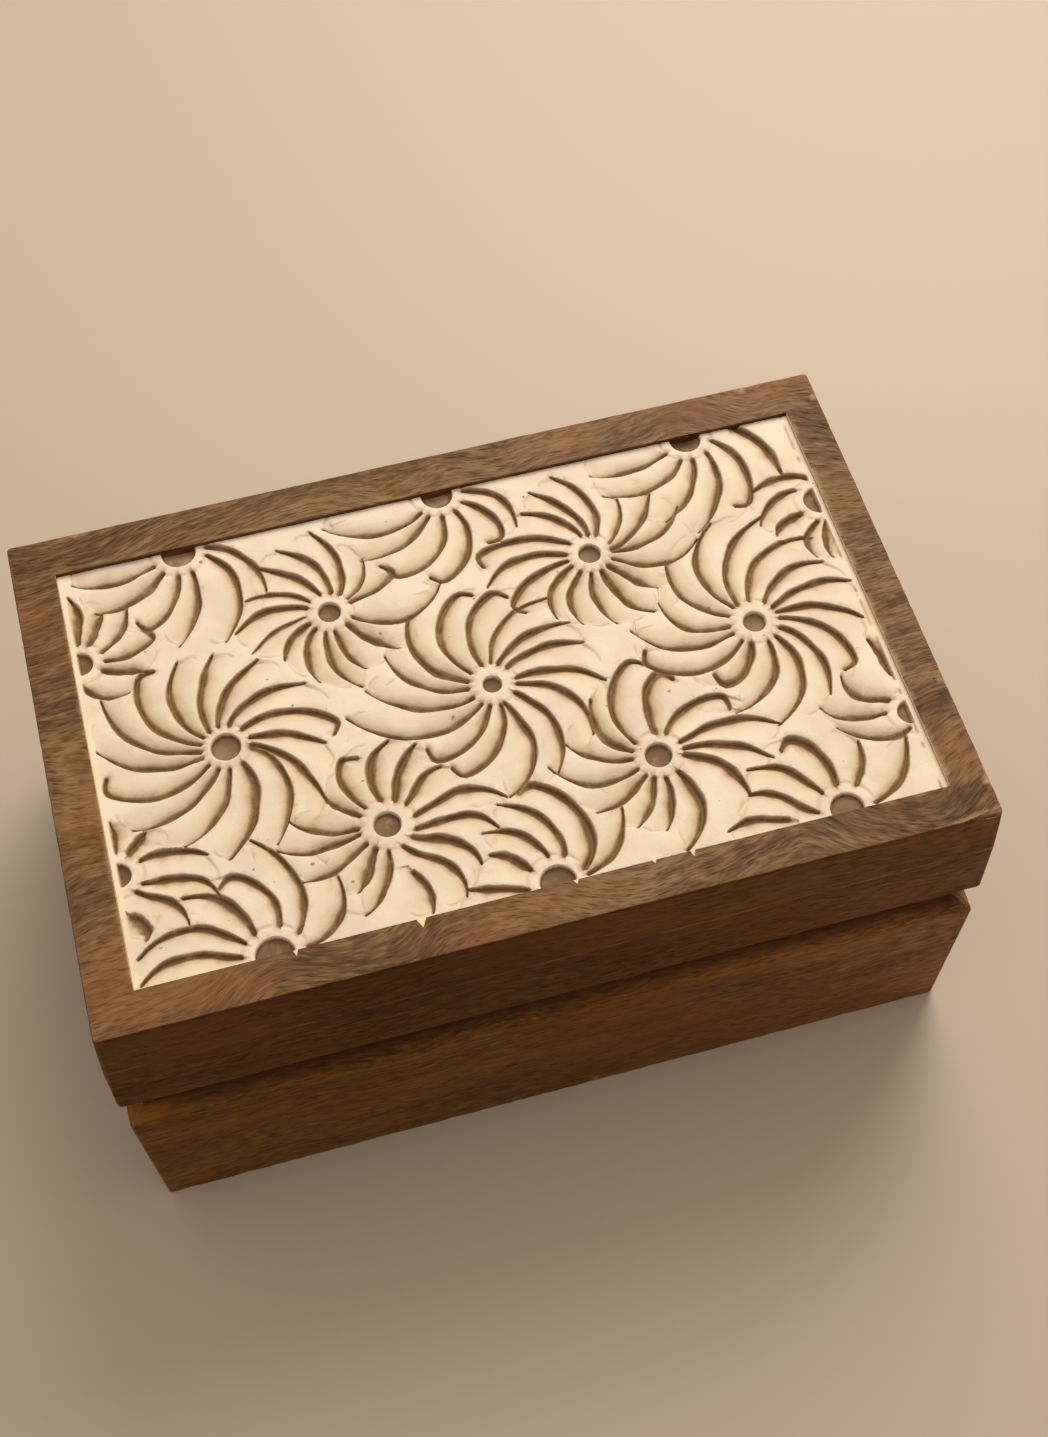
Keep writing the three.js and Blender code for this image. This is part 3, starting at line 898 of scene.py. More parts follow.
@dataclass(frozen=True)
class WaxedWood(Finish):
    """Waxed brown hardwood, with painted shade and light on its faces and the marks that its board has."""

    name: str
    grain: Grain
    # The painted shade and light on the wood's faces.
    painted_shading: PaintedShading = PaintedShading()
    marks: TopBoardMarks | None = None
    dark: Colour = (0.082, 0.036, 0.011)
    middle: Colour = (0.166, 0.080, 0.027)
    light: Colour = (0.265, 0.148, 0.060)
    red: Colour = (0.225, 0.088, 0.024)
    red_share: float = 0.45
    pore: Colour = (0.055, 0.022, 0.007)
    pore_fill: float = 0.55
    grime: float = 0.55
    rubbed: Colour = (0.46, 0.29, 0.15)
    figure: float = 1.0
    contrast: float = 5.6
    pore_share: float = 0.40
    roughness: float = 0.46
    smudge_rough: float = 0.14
    pore_rough: float = 0.2
    wear: float = 0.9
    stands: Range = (0.9, 0.6)
    room: tuple[float, float] = (67.5 * MM, 41.6 * MM)
    room_shade: float = 0.4
    depth: float = 0.12 * MM
    shine: float = 0.12

    def lay_out(self, recipe: Recipe, effects: dict[str, Effect]) -> None:
        """Lays out the wood's colour, roughness and pores.

        Args:
            recipe: The material's recipe.
            effects: The shared effects by name.
        """
        place = recipe.place()
        axes = recipe.node("SeparateXYZ", {"Vector": place}).outputs
        facing = recipe.node("SeparateXYZ", {"Vector": recipe.node("TexCoord").outputs["Normal"]}).outputs
        upright = recipe.fit(recipe.math("ABSOLUTE", facing["Z"]), *self.stands)
        inputs = {"Place": place, "Turn": (0, 0, math.radians(self.grain.value)), "Upright": upright,
                  "Figure": self.figure, "Contrast": self.contrast, "Pore Share": self.pore_share}
        wood = effects["wood_grain"].use(recipe, inputs)
        worn = effects["edge_wear"].use(recipe, {"Place": place, "Amount": self.wear})
        colour = self._heartwood(recipe, wood)
        outside = self._outside(recipe, axes)
        # The wood is darkened towards the pore colour in its concave hollows.
        colour = recipe.mix(recipe.math("MULTIPLY", worn["Grime"], self.grime), colour, self.pore)
        colour = recipe.mix(recipe.math("MULTIPLY", worn["Rubbed"], outside), colour, self.rubbed)
        # The painted shade's share: full on the outer upright faces, less on the faces inside the box.
        upright_shade = recipe.math("MULTIPLY", upright, recipe.fit(outside, 0, 1, self.room_shade, 1))
        colour = self.painted_shading.lay_on(recipe, colour, axes, upright_shade)
        if self.marks:
            colour = self.marks.lay_on(recipe, colour, place, facing, upright)
        rough = recipe.math("MULTIPLY_ADD", worn["Smudge"], self.smudge_rough, self.roughness)
        rough = recipe.math("MULTIPLY_ADD", wood["Pores"], self.pore_rough, rough)
        self.surface(recipe, colour, rough, wood["Height"], self.depth, Specular_IOR_Level=self.shine)

    def _heartwood(self, recipe: Recipe, wood: Sockets) -> Socket:
        """The colour of the wood under its oil.

        Args:
            recipe: The material's recipe.
            wood: The outputs of the grain.

        Returns:
            The colour.
        """
        shade = recipe.node("ValToRGB", {"Fac": wood["Tone"]})
        ramp = shade.color_ramp
        ramp.elements[0].color = (*self.dark, 1)
        ramp.elements[1].color = (*self.light, 1)
        ramp.elements.new(0.5).color = (*self.middle, 1)
        colour = recipe.mix(recipe.math("MULTIPLY", wood["Warmth"], self.red_share), shade.outputs[0], self.red)
        return recipe.mix(recipe.math("MULTIPLY", wood["Pores"], self.pore_fill), colour, self.pore)

    def _outside(self, recipe: Recipe, axes: Sockets) -> Socket:
        """Finds where hands reach the closed box.

        Args:
            recipe: The material's recipe.
            axes: The place along each axis.

        Returns:
            1 outside and 0 on the faces of the box's room.
        """
        within = [recipe.math("LESS_THAN", recipe.math("ABSOLUTE", axes[axis]), half)
                  for axis, half in zip("XY", self.room)]
        return recipe.math("SUBTRACT", 1, recipe.math("MULTIPLY", *within))


@dataclass(frozen=True)
class PaintedCarving(Finish):
    """Cream paint over the carving, with brown stain left in its cuts.

    Sizes are in millimetres. Each wash of stain has its range, its share where it is complete and its colour.
    """

    name: str = "painted_carving"
    paint: Colour = (0.880, 0.700, 0.520)
    cool: Colour = (0.770, 0.590, 0.432)
    tan: Colour = (0.630, 0.440, 0.262)
    glaze: Colour = (0.470, 0.305, 0.170)
    stain: Colour = (0.290, 0.164, 0.073)
    deep: Colour = (0.190, 0.094, 0.033)
    disc: Colour = (0.168, 0.089, 0.037)
    washes: tuple[tuple[float, float, float, Colour], ...] = (
        (0.03, 0.30, 0.75, tan), (0.26, 0.55, 1, glaze), (0.45, 0.80, 1, stain),
    )
    cloud_size: float = 9
    clouds: Fit = (0.38, 0.66, 0, 0.7)
    mottle_size: float = 2.2
    mottle: float = 0.9
    grit_size: float = 0.45
    grit: float = 0.3
    tint_mottle: float = 0.6
    tint: Fit = (0.0, 1.0, 0, 0.58)
    disc_patch_size: float = 24
    disc_patches: Range = (0.46, 0.76)
    disc_mottle: Fit = (0.14, -0.12, 0.1, 0.75)
    bare: Range = (0.72, 1.0)
    speck_size: float = 1.6
    specks: Range = (0.85, 0.87)
    speck_share: float = 0.8
    roughness: Range = (0.56, 0.68)
    depth: float = 0.05 * MM
    shine: float = 0.25

    def lay_out(self, recipe: Recipe, effects: dict[str, Effect]) -> None:
        """Lays out the paint, the stain and the bare discs.

        Args:
            recipe: The material's recipe.
            effects: The shared effects by name.
        """
        place = recipe.place()
        worn = effects["edge_wear"].use(recipe, {"Place": place, "Amount": 1.0})
        cloud = recipe.noise(place, self.cloud_size, 3)
        mottle = recipe.math("SUBTRACT", recipe.noise(place, self.mottle_size, 2), 0.5)
        grit = recipe.noise(place, self.grit_size, 2)
        ragged = recipe.math("MULTIPLY", recipe.math("SUBTRACT", grit, 0.5), self.grit)
        uneven = recipe.math("MULTIPLY_ADD", mottle, self.mottle, ragged)
        colour = recipe.mix(recipe.fit(cloud, *self.clouds), self.paint, self.cool)
        tint = recipe.math("ADD", recipe.trait("tint"), recipe.math("MULTIPLY", uneven, self.tint_mottle))
        colour = recipe.mix(recipe.fit(tint, *self.tint, smooth=False), colour, self.tan)
        stained = recipe.math("MULTIPLY", recipe.trait("stain"), recipe.math("ADD", 1, uneven))
        for low, high, share, wash in self.washes:
            colour = recipe.mix(recipe.fit(stained, low, high, 0, share, smooth=False), colour, wash)
        patches = recipe.fit(recipe.noise(place, self.disc_patch_size, 0), *self.disc_patches)
        wood = recipe.mix(patches, self.disc, self.glaze)
        wood = recipe.mix(recipe.fit(mottle, *self.disc_mottle), wood, self.deep)
        dark = recipe.mix(recipe.trait("disc"), self.deep, wood)
        colour = recipe.mix(recipe.fit(stained, *self.bare), colour, dark)
        specks = recipe.fit(recipe.noise(place, self.speck_size, 0), *self.specks)
        colour = recipe.mix(recipe.math("MULTIPLY", specks, self.speck_share), colour, self.stain)
        rough = recipe.fit(worn["Smudge"], 0, 1, *self.roughness)
        height = recipe.math("ADD", cloud, grit)
        self.surface(recipe, colour, rough, height, self.depth, Specular_IOR_Level=self.shine)


@dataclass(frozen=True)
class AgedBrass(Finish):
    """Brass that has dulled. Sizes are in millimetres."""

    name: str = "aged_brass"
    bright: Colour = (0.66, 0.47, 0.20)
    dull: Colour = (0.30, 0.19, 0.07)
    tarnish_size: float = 2.4
    tarnish: Range = (0.35, 0.7)
    roughness: Range = (0.28, 0.5)
    scratch_size: Sizes = (4, 0.12, 0.12)
    depth: float = 0.02 * MM

    def lay_out(self, recipe: Recipe, effects: dict[str, Effect]) -> None:
        """Lays out the tarnish and the scratches.

        Args:
            recipe: The material's recipe.
            effects: The shared effects by name.
        """
        place = recipe.place()
        worn = effects["edge_wear"].use(recipe, {"Place": place, "Amount": 1.0})
        tarnish = recipe.fit(recipe.noise(place, self.tarnish_size, 4, 0.65), *self.tarnish)
        colour = recipe.mix(tarnish, self.bright, self.dull)
        colour = recipe.mix(worn["Rubbed"], colour, self.bright)
        rough = recipe.fit(tarnish, 0, 1, *self.roughness)
        self.surface(recipe, colour, rough, recipe.noise(place, self.scratch_size, 2), self.depth, Metallic=1.0)


@dataclass(frozen=True)
class PaleFloor(Finish):
    """The studio's plain pale floor."""

    name: str = "pale_floor"
    colour: Colour = (0.525, 0.405, 0.282)
    roughness: float = 0.55

    def lay_out(self, recipe: Recipe, effects: dict[str, Effect]) -> None:
        """Lays out one even colour."""
        shader = recipe.node("BsdfPrincipled", {"Base Color": self.colour, "Roughness": self.roughness})
        recipe.node("OutputMaterial", {"Surface": shader.outputs[0]})


@dataclass(frozen=True)
class Form:
    """An upright form with rounded corners that narrows at some of its levels."""

    width: float
    depth: float
    middle_y: float
    levels: tuple[tuple[float, float], ...]
    eased: tuple[float, ...]
    corner: float = 0.8 * MM
    corner_faces: int = 6
    score: float = 1.3 * MM
    level_score: float = 4 * MM
    quick_score: float = 3

    @property
    def foot(self) -> float:
        """The height of its foot."""
        return self.levels[0][0]

    @property
    def top(self) -> float:
        """The height of its top."""
        return self.levels[-1][0]

    def shape(self, name: str) -> Solid:
        """Saws and planes the form, and scores it finely enough to be worn.

        Args:
            name: The form's name.

        Returns:
            The solid form.
        """
        half = (self.width / 2, self.depth / 2)
        low = (-half[0], self.middle_y - half[1], self.foot)
        body = Solid.block(name, low, (half[0], self.middle_y + half[1], self.top))
        body.ease(lambda middle, way: abs(way.z) > UPRIGHT, self.corner, self.corner_faces)
        for level, _ in self.levels[1:-1]:
            body.slice((0, 0, level), (0, 0, 1))
        centre = Vector((0, self.middle_y, 0))
        for level, inset in self.levels:
            body.draw_in(level, (1 - inset / half[0], 1 - inset / half[1]), centre)
        for (level, _), width in zip(self.levels, self.eased):
            if width:
                body.ease(rim_at(level), width)
        score = self.score * 1
        return body.rule(score, "XY").rule(self.level_score, "Z")


@dataclass(frozen=True)
class Wear:
    """How a hand-made form departs from its true faces."""

    depth: float
    size: float
    contrast: float = 1.0
    level: float = 1.0

    def put_on(self, piece: Solid, touched: Callable[[Vector], bool] | None = None) -> None:
        """Presses the wear into a piece.

        Args:
            piece: The piece to wear.
            touched: Says whether a point of it is worn. None wears it all over.
        """
        cloud = bpy.data.textures.new("wear", "CLOUDS")
        cloud.noise_scale = self.size
        cloud.noise_depth = 2
        cloud.contrast = self.contrast
        cloud.intensity = self.level
        cloud.use_clamp = True
        settings = {"texture": cloud, "texture_coords": "LOCAL", "strength": -self.depth, "mid_level": 0}
        if touched:
            group = piece.body.vertex_groups.new(name="worn")
            group.add([v.index for v in piece.body.data.vertices if touched(v.co)], 1, "REPLACE")
            settings["vertex_group"] = group.name
        piece.apply("DISPLACE", **settings)
        if touched:
            piece.body.vertex_groups.clear()


@dataclass
class MitredFrame:
    """Four boards mitred at the corners, sawn from one form."""

    form: Form
    wall: float = 9 * MM
    glue_line: float = 0.12 * MM

    def inside(self, name: str, low_z: float, high_z: float, grow: float = 0) -> Solid:
        """A block that fills the room inside the boards.

        Args:
            name: The block's name.
            low_z: Its foot.
            high_z: Its top.
            grow: How far it reaches into the boards.

        Returns:
            The block.
        """
        x = self.form.width / 2 - self.wall + grow
        y = self.form.depth / 2 - self.wall + grow
        middle = self.form.middle_y
        return Solid.block(name, (-x, middle - y, low_z), (x, middle + y, high_z))

    def board(self, ring: Solid, side: Side, name: str) -> Solid:
        """Saws one side's board out of the ring.

        Args:
            ring: The ring of the four sides.
            side: The side.
            name: The board's name.

        Returns:
            The board.
        """
        board = ring.copy(name)
        out = Vector((*side.value, 0))
        across = Vector((-out.y, out.x, 0))
        x, y = self.form.width / 2, self.form.depth / 2
        for sign in (-1, 1):
            corner = Vector((x * (out.x + sign * across.x), y * (out.y + sign * across.y), 0))
            corner += Vector((0, self.form.middle_y, 0)) - sign * across * self.glue_line * math.sqrt(0.5)
            board.slice(corner, (sign * across - out).normalized(), keep=False)
        return board


@dataclass
class Hinge:
    """A small brass butt hinge: two leaves, a pin and four countersunk screws."""

    label: str
    middle_x: float
    axis_y: float = 47.4 * MM
    axis_z: float = SEAM
    length: float = 18 * MM
    reach: float = 4.9 * MM
    leaf: float = 0.8 * MM
    leaf_gap: float = 0.3 * MM
    barrel: float = 1.5 * MM
    barrel_gap: float = 0.3 * MM
    pin: float = 0.6 * MM
    middle_knuckle: float = 6 * MM
    knuckle_gap: float = 0.3 * MM
    fit: float = 0.15 * MM
    screw_spacing: float = 11 * MM
    screw_head: float = 1.3 * MM
    screw_shank: float = 0.65 * MM
    screw_length: float = 7 * MM
    screw_tip: float = 1.6 * MM
    screw_point: float = 0.05 * MM
    screw_sides: int = 32
    slot_width: float = 0.34 * MM
    slot_depth: float = 0.35 * MM
    slot_turn: tuple[float, float, float] = (25, 40, 13)
    pocket_back: float = 5 * MM
    leaf_corner: float = 0.5 * MM
    leaf_arris: float = 0.07 * MM
    pin_round: float = 0.2 * MM

    @property
    def screw_y(self) -> float:
        """How far back the screws are."""
        return self.axis_y - (self.reach + self.barrel + self.barrel_gap) / 2

    @property
    def screw_places(self) -> tuple[float, float]:
        """Where the screws are along the hinge."""
        return self.middle_x - self.screw_spacing / 2, self.middle_x + self.screw_spacing / 2

    def _rod(self, name: str, radius: float, low_x: float, high_x: float) -> Solid:
        """Makes a rod along the hinge's axis.

        Args:
            name: The rod's name.
            radius: Its radius.
            low_x: Where it starts.
            high_x: Where it ends.

        Returns:
            The rod.
        """
        start, end = (low_x, self.axis_y, self.axis_z), (high_x, self.axis_y, self.axis_z)
        return Solid.rod(name, start, end, (radius, radius))

    def _levels(self, side: int) -> tuple[float, float]:
        """The inner and outer face of the leaf below (-1) or above (1) the seam."""
        inner = self.axis_z + side * self.leaf_gap / 2
        return inner, inner + side * self.leaf

    def _screw(self, name: str, x: float, side: int, grow: float) -> Solid:
        """A screw, or with some growth the hole that it sits in.

        Args:
            name: The piece's name.
            x: Its place along the hinge.
            side: -1 for the base and 1 for the lid.
            grow: How much wider it is than a true screw.

        Returns:
            The screw.
        """
        face = self._levels(side)[0]
        levels = [face, face + side * self.leaf, face + side * (self.screw_length - self.screw_tip)]
        levels.append(face + side * (self.screw_length + grow))
        shank = self.screw_shank + grow
        radii = [(self.screw_head + grow, shank), (shank, shank), (shank, self.screw_point + grow)]
        parts = [
            Solid.rod(name, (x, self.screw_y, start), (x, self.screw_y, end + side * TOUCH), pair, self.screw_sides)
            for start, end, pair in zip(levels, levels[1:], radii)
        ]
        return parts[0].join(*parts[1:])

    def pocket(self, side: int) -> Solid:
        """The room that the hinge takes out of a back board.

        Args:
            side: -1 for the base and 1 for the lid.

        Returns:
            The room as a solid.
        """
        half = self.length / 2 + self.fit
        levels = sorted((self._levels(side)[1], self.axis_z - side * BEYOND))
        low = (self.middle_x - half, self.axis_y - self.reach - self.fit, levels[0])
        room = Solid.block("pocket", low, (self.middle_x + half, self.axis_y + self.pocket_back, levels[1]))
        barrel = self._rod("room", self.barrel + self.barrel_gap, self.middle_x - half, self.middle_x + half)
        screws = [self._screw("hole", x, side, self.fit) for x in self.screw_places]
        return room.join(barrel, *screws)

    def _leaf(self, name: str, side: int) -> Solid:
        """Makes one leaf with its knuckles, bore and countersinks.

        Args:
            name: The leaf's name.
            side: -1 for the base and 1 for the lid.

        Returns:
            The leaf.
        """
        half, middle = self.length / 2, self.middle_knuckle / 2
        inner_span = [(self.middle_x - middle, self.middle_x + middle)]
        outer_spans = [
            (self.middle_x - half, self.middle_x - middle - self.knuckle_gap),
            (self.middle_x + middle + self.knuckle_gap, self.middle_x + half),
        ]
        own, other = (inner_span, outer_spans) if side > 0 else (outer_spans, inner_span)
        levels = sorted(self._levels(side))
        low = (self.middle_x - half, self.axis_y - self.reach, levels[0])
        leaf = Solid.block(name, low, (self.middle_x + half, self.axis_y, levels[1]))
        front = self.axis_y - self.reach / 2
        leaf.ease(lambda place, way: abs(way.z) > UPRIGHT and place.y < front, self.leaf_corner, 4)
        for start, end in other:
            span = (start - self.knuckle_gap, end + self.knuckle_gap)
            leaf.cut(self._rod("clear", self.barrel + self.barrel_gap, *span))
        for start, end in own:
            leaf.join(self._rod("knuckle", self.barrel, start, end))
        bore = self.pin + self.fit / 2
        leaf.cut(self._rod("bore", bore, self.middle_x - half - BEYOND, self.middle_x + half + BEYOND))
        leaf.cut(*(self._screw("hole", x, side, self.fit) for x in self.screw_places))
        return leaf.apply("BEVEL", width=self.leaf_arris, segments=2, limit_method="ANGLE",
                          angle_limit=math.radians(40))

    def build(self, brass: bpy.types.Material) -> None:
        """Makes the leaves, the pin and the screws.

        Args:
            brass: Their finish.
        """
        half = self.length / 2
        for part, side in (("base", -1), ("lid", 1)):
            node = f"{self.label}_hinge_{part}_leaf"
            self._leaf(f"{node}_brass", side).finish(brass, node, "brass")
            for number, x in enumerate(self.screw_places, 1):
                node = f"{self.label}_hinge_{part}_screw_{number}"
                screw = self._screw(f"{node}_brass", x, side, 0)
                screw.cut(self._slot(x, side, number)).finish(brass, node, "brass")
        node = f"{self.label}_hinge_pin"
        pin = self._rod(f"{node}_brass", self.pin, self.middle_x - half, self.middle_x + half)
        pin.ease(lambda middle, way: abs(abs(middle.x - self.middle_x) - half) < TOUCH, self.pin_round)
        pin.finish(brass, node, "brass")

    def _slot(self, x: float, side: int, number: int) -> Solid:
        """The slot of a screw's head, which each screw has turned its own way.

        Args:
            x: The screw's place along the hinge.
            side: -1 for the base and 1 for the lid.
            number: The screw's number in its leaf.

        Returns:
            The slot as a solid.
        """
        first, by_number, by_side = self.slot_turn
        high = (self.screw_head * 2, self.slot_width / 2, self.slot_depth)
        slot = Solid.block("slot", [-size for size in high], high)
        turn = math.radians(first + by_number * number + by_side * side)
        return slot.place((x, self.screw_y, self._levels(side)[0]), turn)


@dataclass
class Base:
    """The lower half: four mitred boards and a bottom board let in below."""

    hinges: tuple[Hinge, ...]
    boards: MitredFrame = field(default_factory=lambda: MitredFrame(Form(
        width=151.4 * MM, depth=100.2 * MM, middle_y=0,
        levels=((0, 0.7 * MM), (37.8 * MM, 0), (SEAM, 3.1 * MM)),
        eased=(0.3 * MM, 0.35 * MM, 0.3 * MM),
    )))
    bottom: float = 5 * MM
    rebate: float = 4.5 * MM
    fit: float = 0.15 * MM
    wobble: Wear = Wear(0.08 * MM, 18 * MM)
    nicks: Wear = Wear(0.14 * MM, 2.2 * MM, 2.2, 0.75)
    nicked_below: float = 0.5 * MM
    nicked_above: float = 37.3 * MM
    bottom_edge: float = 0.25 * MM
    bottom_score: float = 9 * MM

    def _rim(self, place: Vector) -> bool:
        """Whether a point lies on the bevel's edges or on the foot's."""
        return place.z < self.nicked_below or place.z > self.nicked_above

    def build(self, wood: dict[Side, bpy.types.Material], plain: bpy.types.Material) -> None:
        """Makes the boards.

        Args:
            wood: The finish of each side's board.
            plain: The finish of the bottom board.
        """
        form = self.boards.form
        ring = form.shape("base_ring")
        self.wobble.put_on(ring)
        self.nicks.put_on(ring, self._rim)
        ring.cut(self.boards.inside("room", form.foot - BEYOND, form.top + BEYOND),
                 self.boards.inside("rebate", form.foot - BEYOND, self.bottom, self.rebate))
        for side in Side:
            label = side.name.lower()
            board = self.boards.board(ring, side, f"base_{label}_board_wood")
            if side is Side.BACK:
                board.cut(*(hinge.pocket(-1) for hinge in self.hinges))
            board.finish(wood[side], f"base_{label}_board", "waxed_wood")
        ring.discard()
        floor = self.boards.inside("bottom_board_wood", form.foot, self.bottom, self.rebate - self.fit)
        floor.ease(lambda middle, way: True, self.bottom_edge).rule(self.bottom_score, "XY")
        floor.finish(plain, "bottom_board", "bottom_wood")


@dataclass
class Lid:
    """The upper half: four mitred rails under a solid top board with a sunk field."""

    hinges: tuple[Hinge, ...]
    boards: MitredFrame = field(default_factory=lambda: MitredFrame(Form(
        width=152.6 * MM, depth=99.1 * MM, middle_y=0.55 * MM,
        levels=((SEAM, 2.6 * MM), (45 * MM, 0), (58.9 * MM, 0.255 * MM), (TOP, 0.85 * MM)),
        eased=(0.3 * MM, 0.3 * MM, 0, 0.35 * MM),
    )))
    board_foot: float = 59 * MM
    field_low: tuple[float, float] = (-67.8 * MM, FIELD_FRONT)
    field_high: tuple[float, float] = (68.7 * MM, 41.15 * MM)
    wobble: Wear = Wear(0.08 * MM, 18 * MM)
    nicks: Wear = Wear(0.09 * MM, 1.9 * MM, 2.0, 0.75)
    ragged: Wear = Wear(0.25 * MM, 1.6 * MM, 2.0, 0.85)
    ragged_reach: float = 0.02 * MM
    arris_drop: float = 0.72 * MM
    arris_reach: float = 1.4 * MM
    overcut_depth: float = 0.7 * MM
    overcut_height: float = 4 * MM

    def _arris(self, place: Vector) -> bool:
        """Tests whether a point lies on the rounded top arris.

        Args:
            place: The point.

        Returns:
            Whether it does.
        """
        form = self.boards.form
        reach = (form.width / 2 - abs(place.x), form.depth / 2 - abs(place.y - form.middle_y))
        return place.z > form.top - self.arris_drop and min(reach) < self.arris_reach

    def _overcuts(self) -> list[Solid]:
        """Makes the wedges where the carver's cuts overran the field's front edge.

        Returns:
            The wedges.
        """
        tools = []
        for x, half, reach in OVERCUTS:
            side = math.sqrt(2) * half * MM
            tool = Solid.block("overcut", (-side / 2, -side / 2, 0), (side / 2, side / 2, self.overcut_height))
            tool.place((0, 0, 0), math.radians(45))
            tool.stretch((1, reach / half, 1))
            tools.append(tool.place((x * MM, FIELD_FRONT, self.boards.form.top - self.overcut_depth)))
        return tools

    def _rubbed_corner(self, place: Vector) -> bool:
        """Whether a point lies on the facet of the knocked-off corner."""
        start, way = knocked_off()
        return abs((place - start).dot(way)) < self.ragged_reach

    def build(self, wood: dict[Side, bpy.types.Material], top: bpy.types.Material) -> None:
        """Makes the rails and the top board.

        Args:
            wood: The finish of each side's rail.
            top: The finish of the top board.
        """
        form = self.boards.form
        block = form.shape("lid_block")
        start, way = knocked_off()
        block.slice(start, way, keep=False)
        self.ragged.put_on(block, self._rubbed_corner)
        self.wobble.put_on(block)
        self.nicks.put_on(block, self._arris)
        board = block.copy("lid_top_board_wood").slice((0, 0, self.board_foot), (0, 0, -1), keep=False)
        field_room = Solid.block("field", (*self.field_low, FIELD_FLOOR), (*self.field_high, form.top + BEYOND))
        board.cut(field_room, *self._overcuts()).finish(top, "lid_top_board", "waxed_wood")
        ring = block.slice((0, 0, self.board_foot), (0, 0, 1), keep=False)
        ring.cut(self.boards.inside("room", form.foot - BEYOND, form.top))
        for side in Side:
            label = side.name.lower()
            rail = self.boards.board(ring, side, f"lid_{label}_rail_wood")
            if side is Side.BACK:
                rail.cut(*(hinge.pocket(1) for hinge in self.hinges))
            rail.finish(wood[side], f"lid_{label}_rail", "waxed_wood")
        ring.discard()


class Swirl(Enum):
    """The way that a flower's cuts turn as they run out."""

    CLOCKWISE = -1
    ANTICLOCKWISE = 1


@dataclass(frozen=True)
class Cut:
    """One curved cut of a flower, by its angles in degrees and its reach in millimetres."""

    start: float
    middle: float
    end: float
    reach: float
    width: float = 1.0
    hook: float = 0.0
    begin: float = 0.0

    def bearing(self, radius: np.ndarray, first: float) -> np.ndarray:
        """The angle at which the cut crosses each radius.

        Args:
            radius: The radii in millimetres.
            first: The radius of the first reading.

        Returns:
            The angles in degrees.
        """
        share = (radius - first) / (self.reach - first)
        bend = self.start + self.end - 2 * self.middle
        return self.start + share * (self.end - self.start) + 2 * bend * share * (share - 1)


def smooth(value: np.ndarray, low: float, high: float) -> np.ndarray:
    """A smooth step from 0 at low to 1 at high, either way round."""
    share = np.clip((value - low) / (high - low), 0, 1)
    return share * share * (3 - 2 * share)


def climb(value: np.ndarray, steps: Steps) -> np.ndarray:
    """Adds up some smooth steps.

    Args:
        value: Where each point is along them.
        steps: The steps.

    Returns:
        The sum at each point.
    """
    return sum(share * smooth(value, low, high) for share, low, high in steps)


class Relief:
    """The carved surface over a set of points: its height, and where it is stained, glazed and bare."""

    def __init__(self, count: int) -> None:
        """A flat surface of so many points."""
        self.height, self.stain, self.tint, self.disc = (np.zeros(count) for _ in range(4))

    def sink(self, rows: np.ndarray, height: np.ndarray) -> None:
        """Lowers some points to a height, unless they already lie deeper."""
        self.height[rows] = np.minimum(self.height[rows], height)

    def mark(self, name: str, rows: np.ndarray, value: np.ndarray) -> None:
        """Stains, glazes or bares some points, unless they already are more so.

        Args:
            name: Which of the three it is.
            rows: The points.
            value: How much, from 0 to 1.
        """
        values = getattr(self, name)
        values[rows] = np.maximum(values[rows], value)

    def groove(self, rows: np.ndarray, wall: np.ndarray, stain: np.ndarray, depth: np.ndarray) -> None:
        """Cuts a groove through some points.

        Args:
            rows: The points.
            wall: How far down its wall each point lies, from 0 to 1.
            stain: How much of the stain stays there, from 0 to 1.
            depth: The groove's depth there.
        """
        self.sink(rows, self.height[rows] * (1 - wall) - depth * wall)
        self.mark("stain", rows, stain)


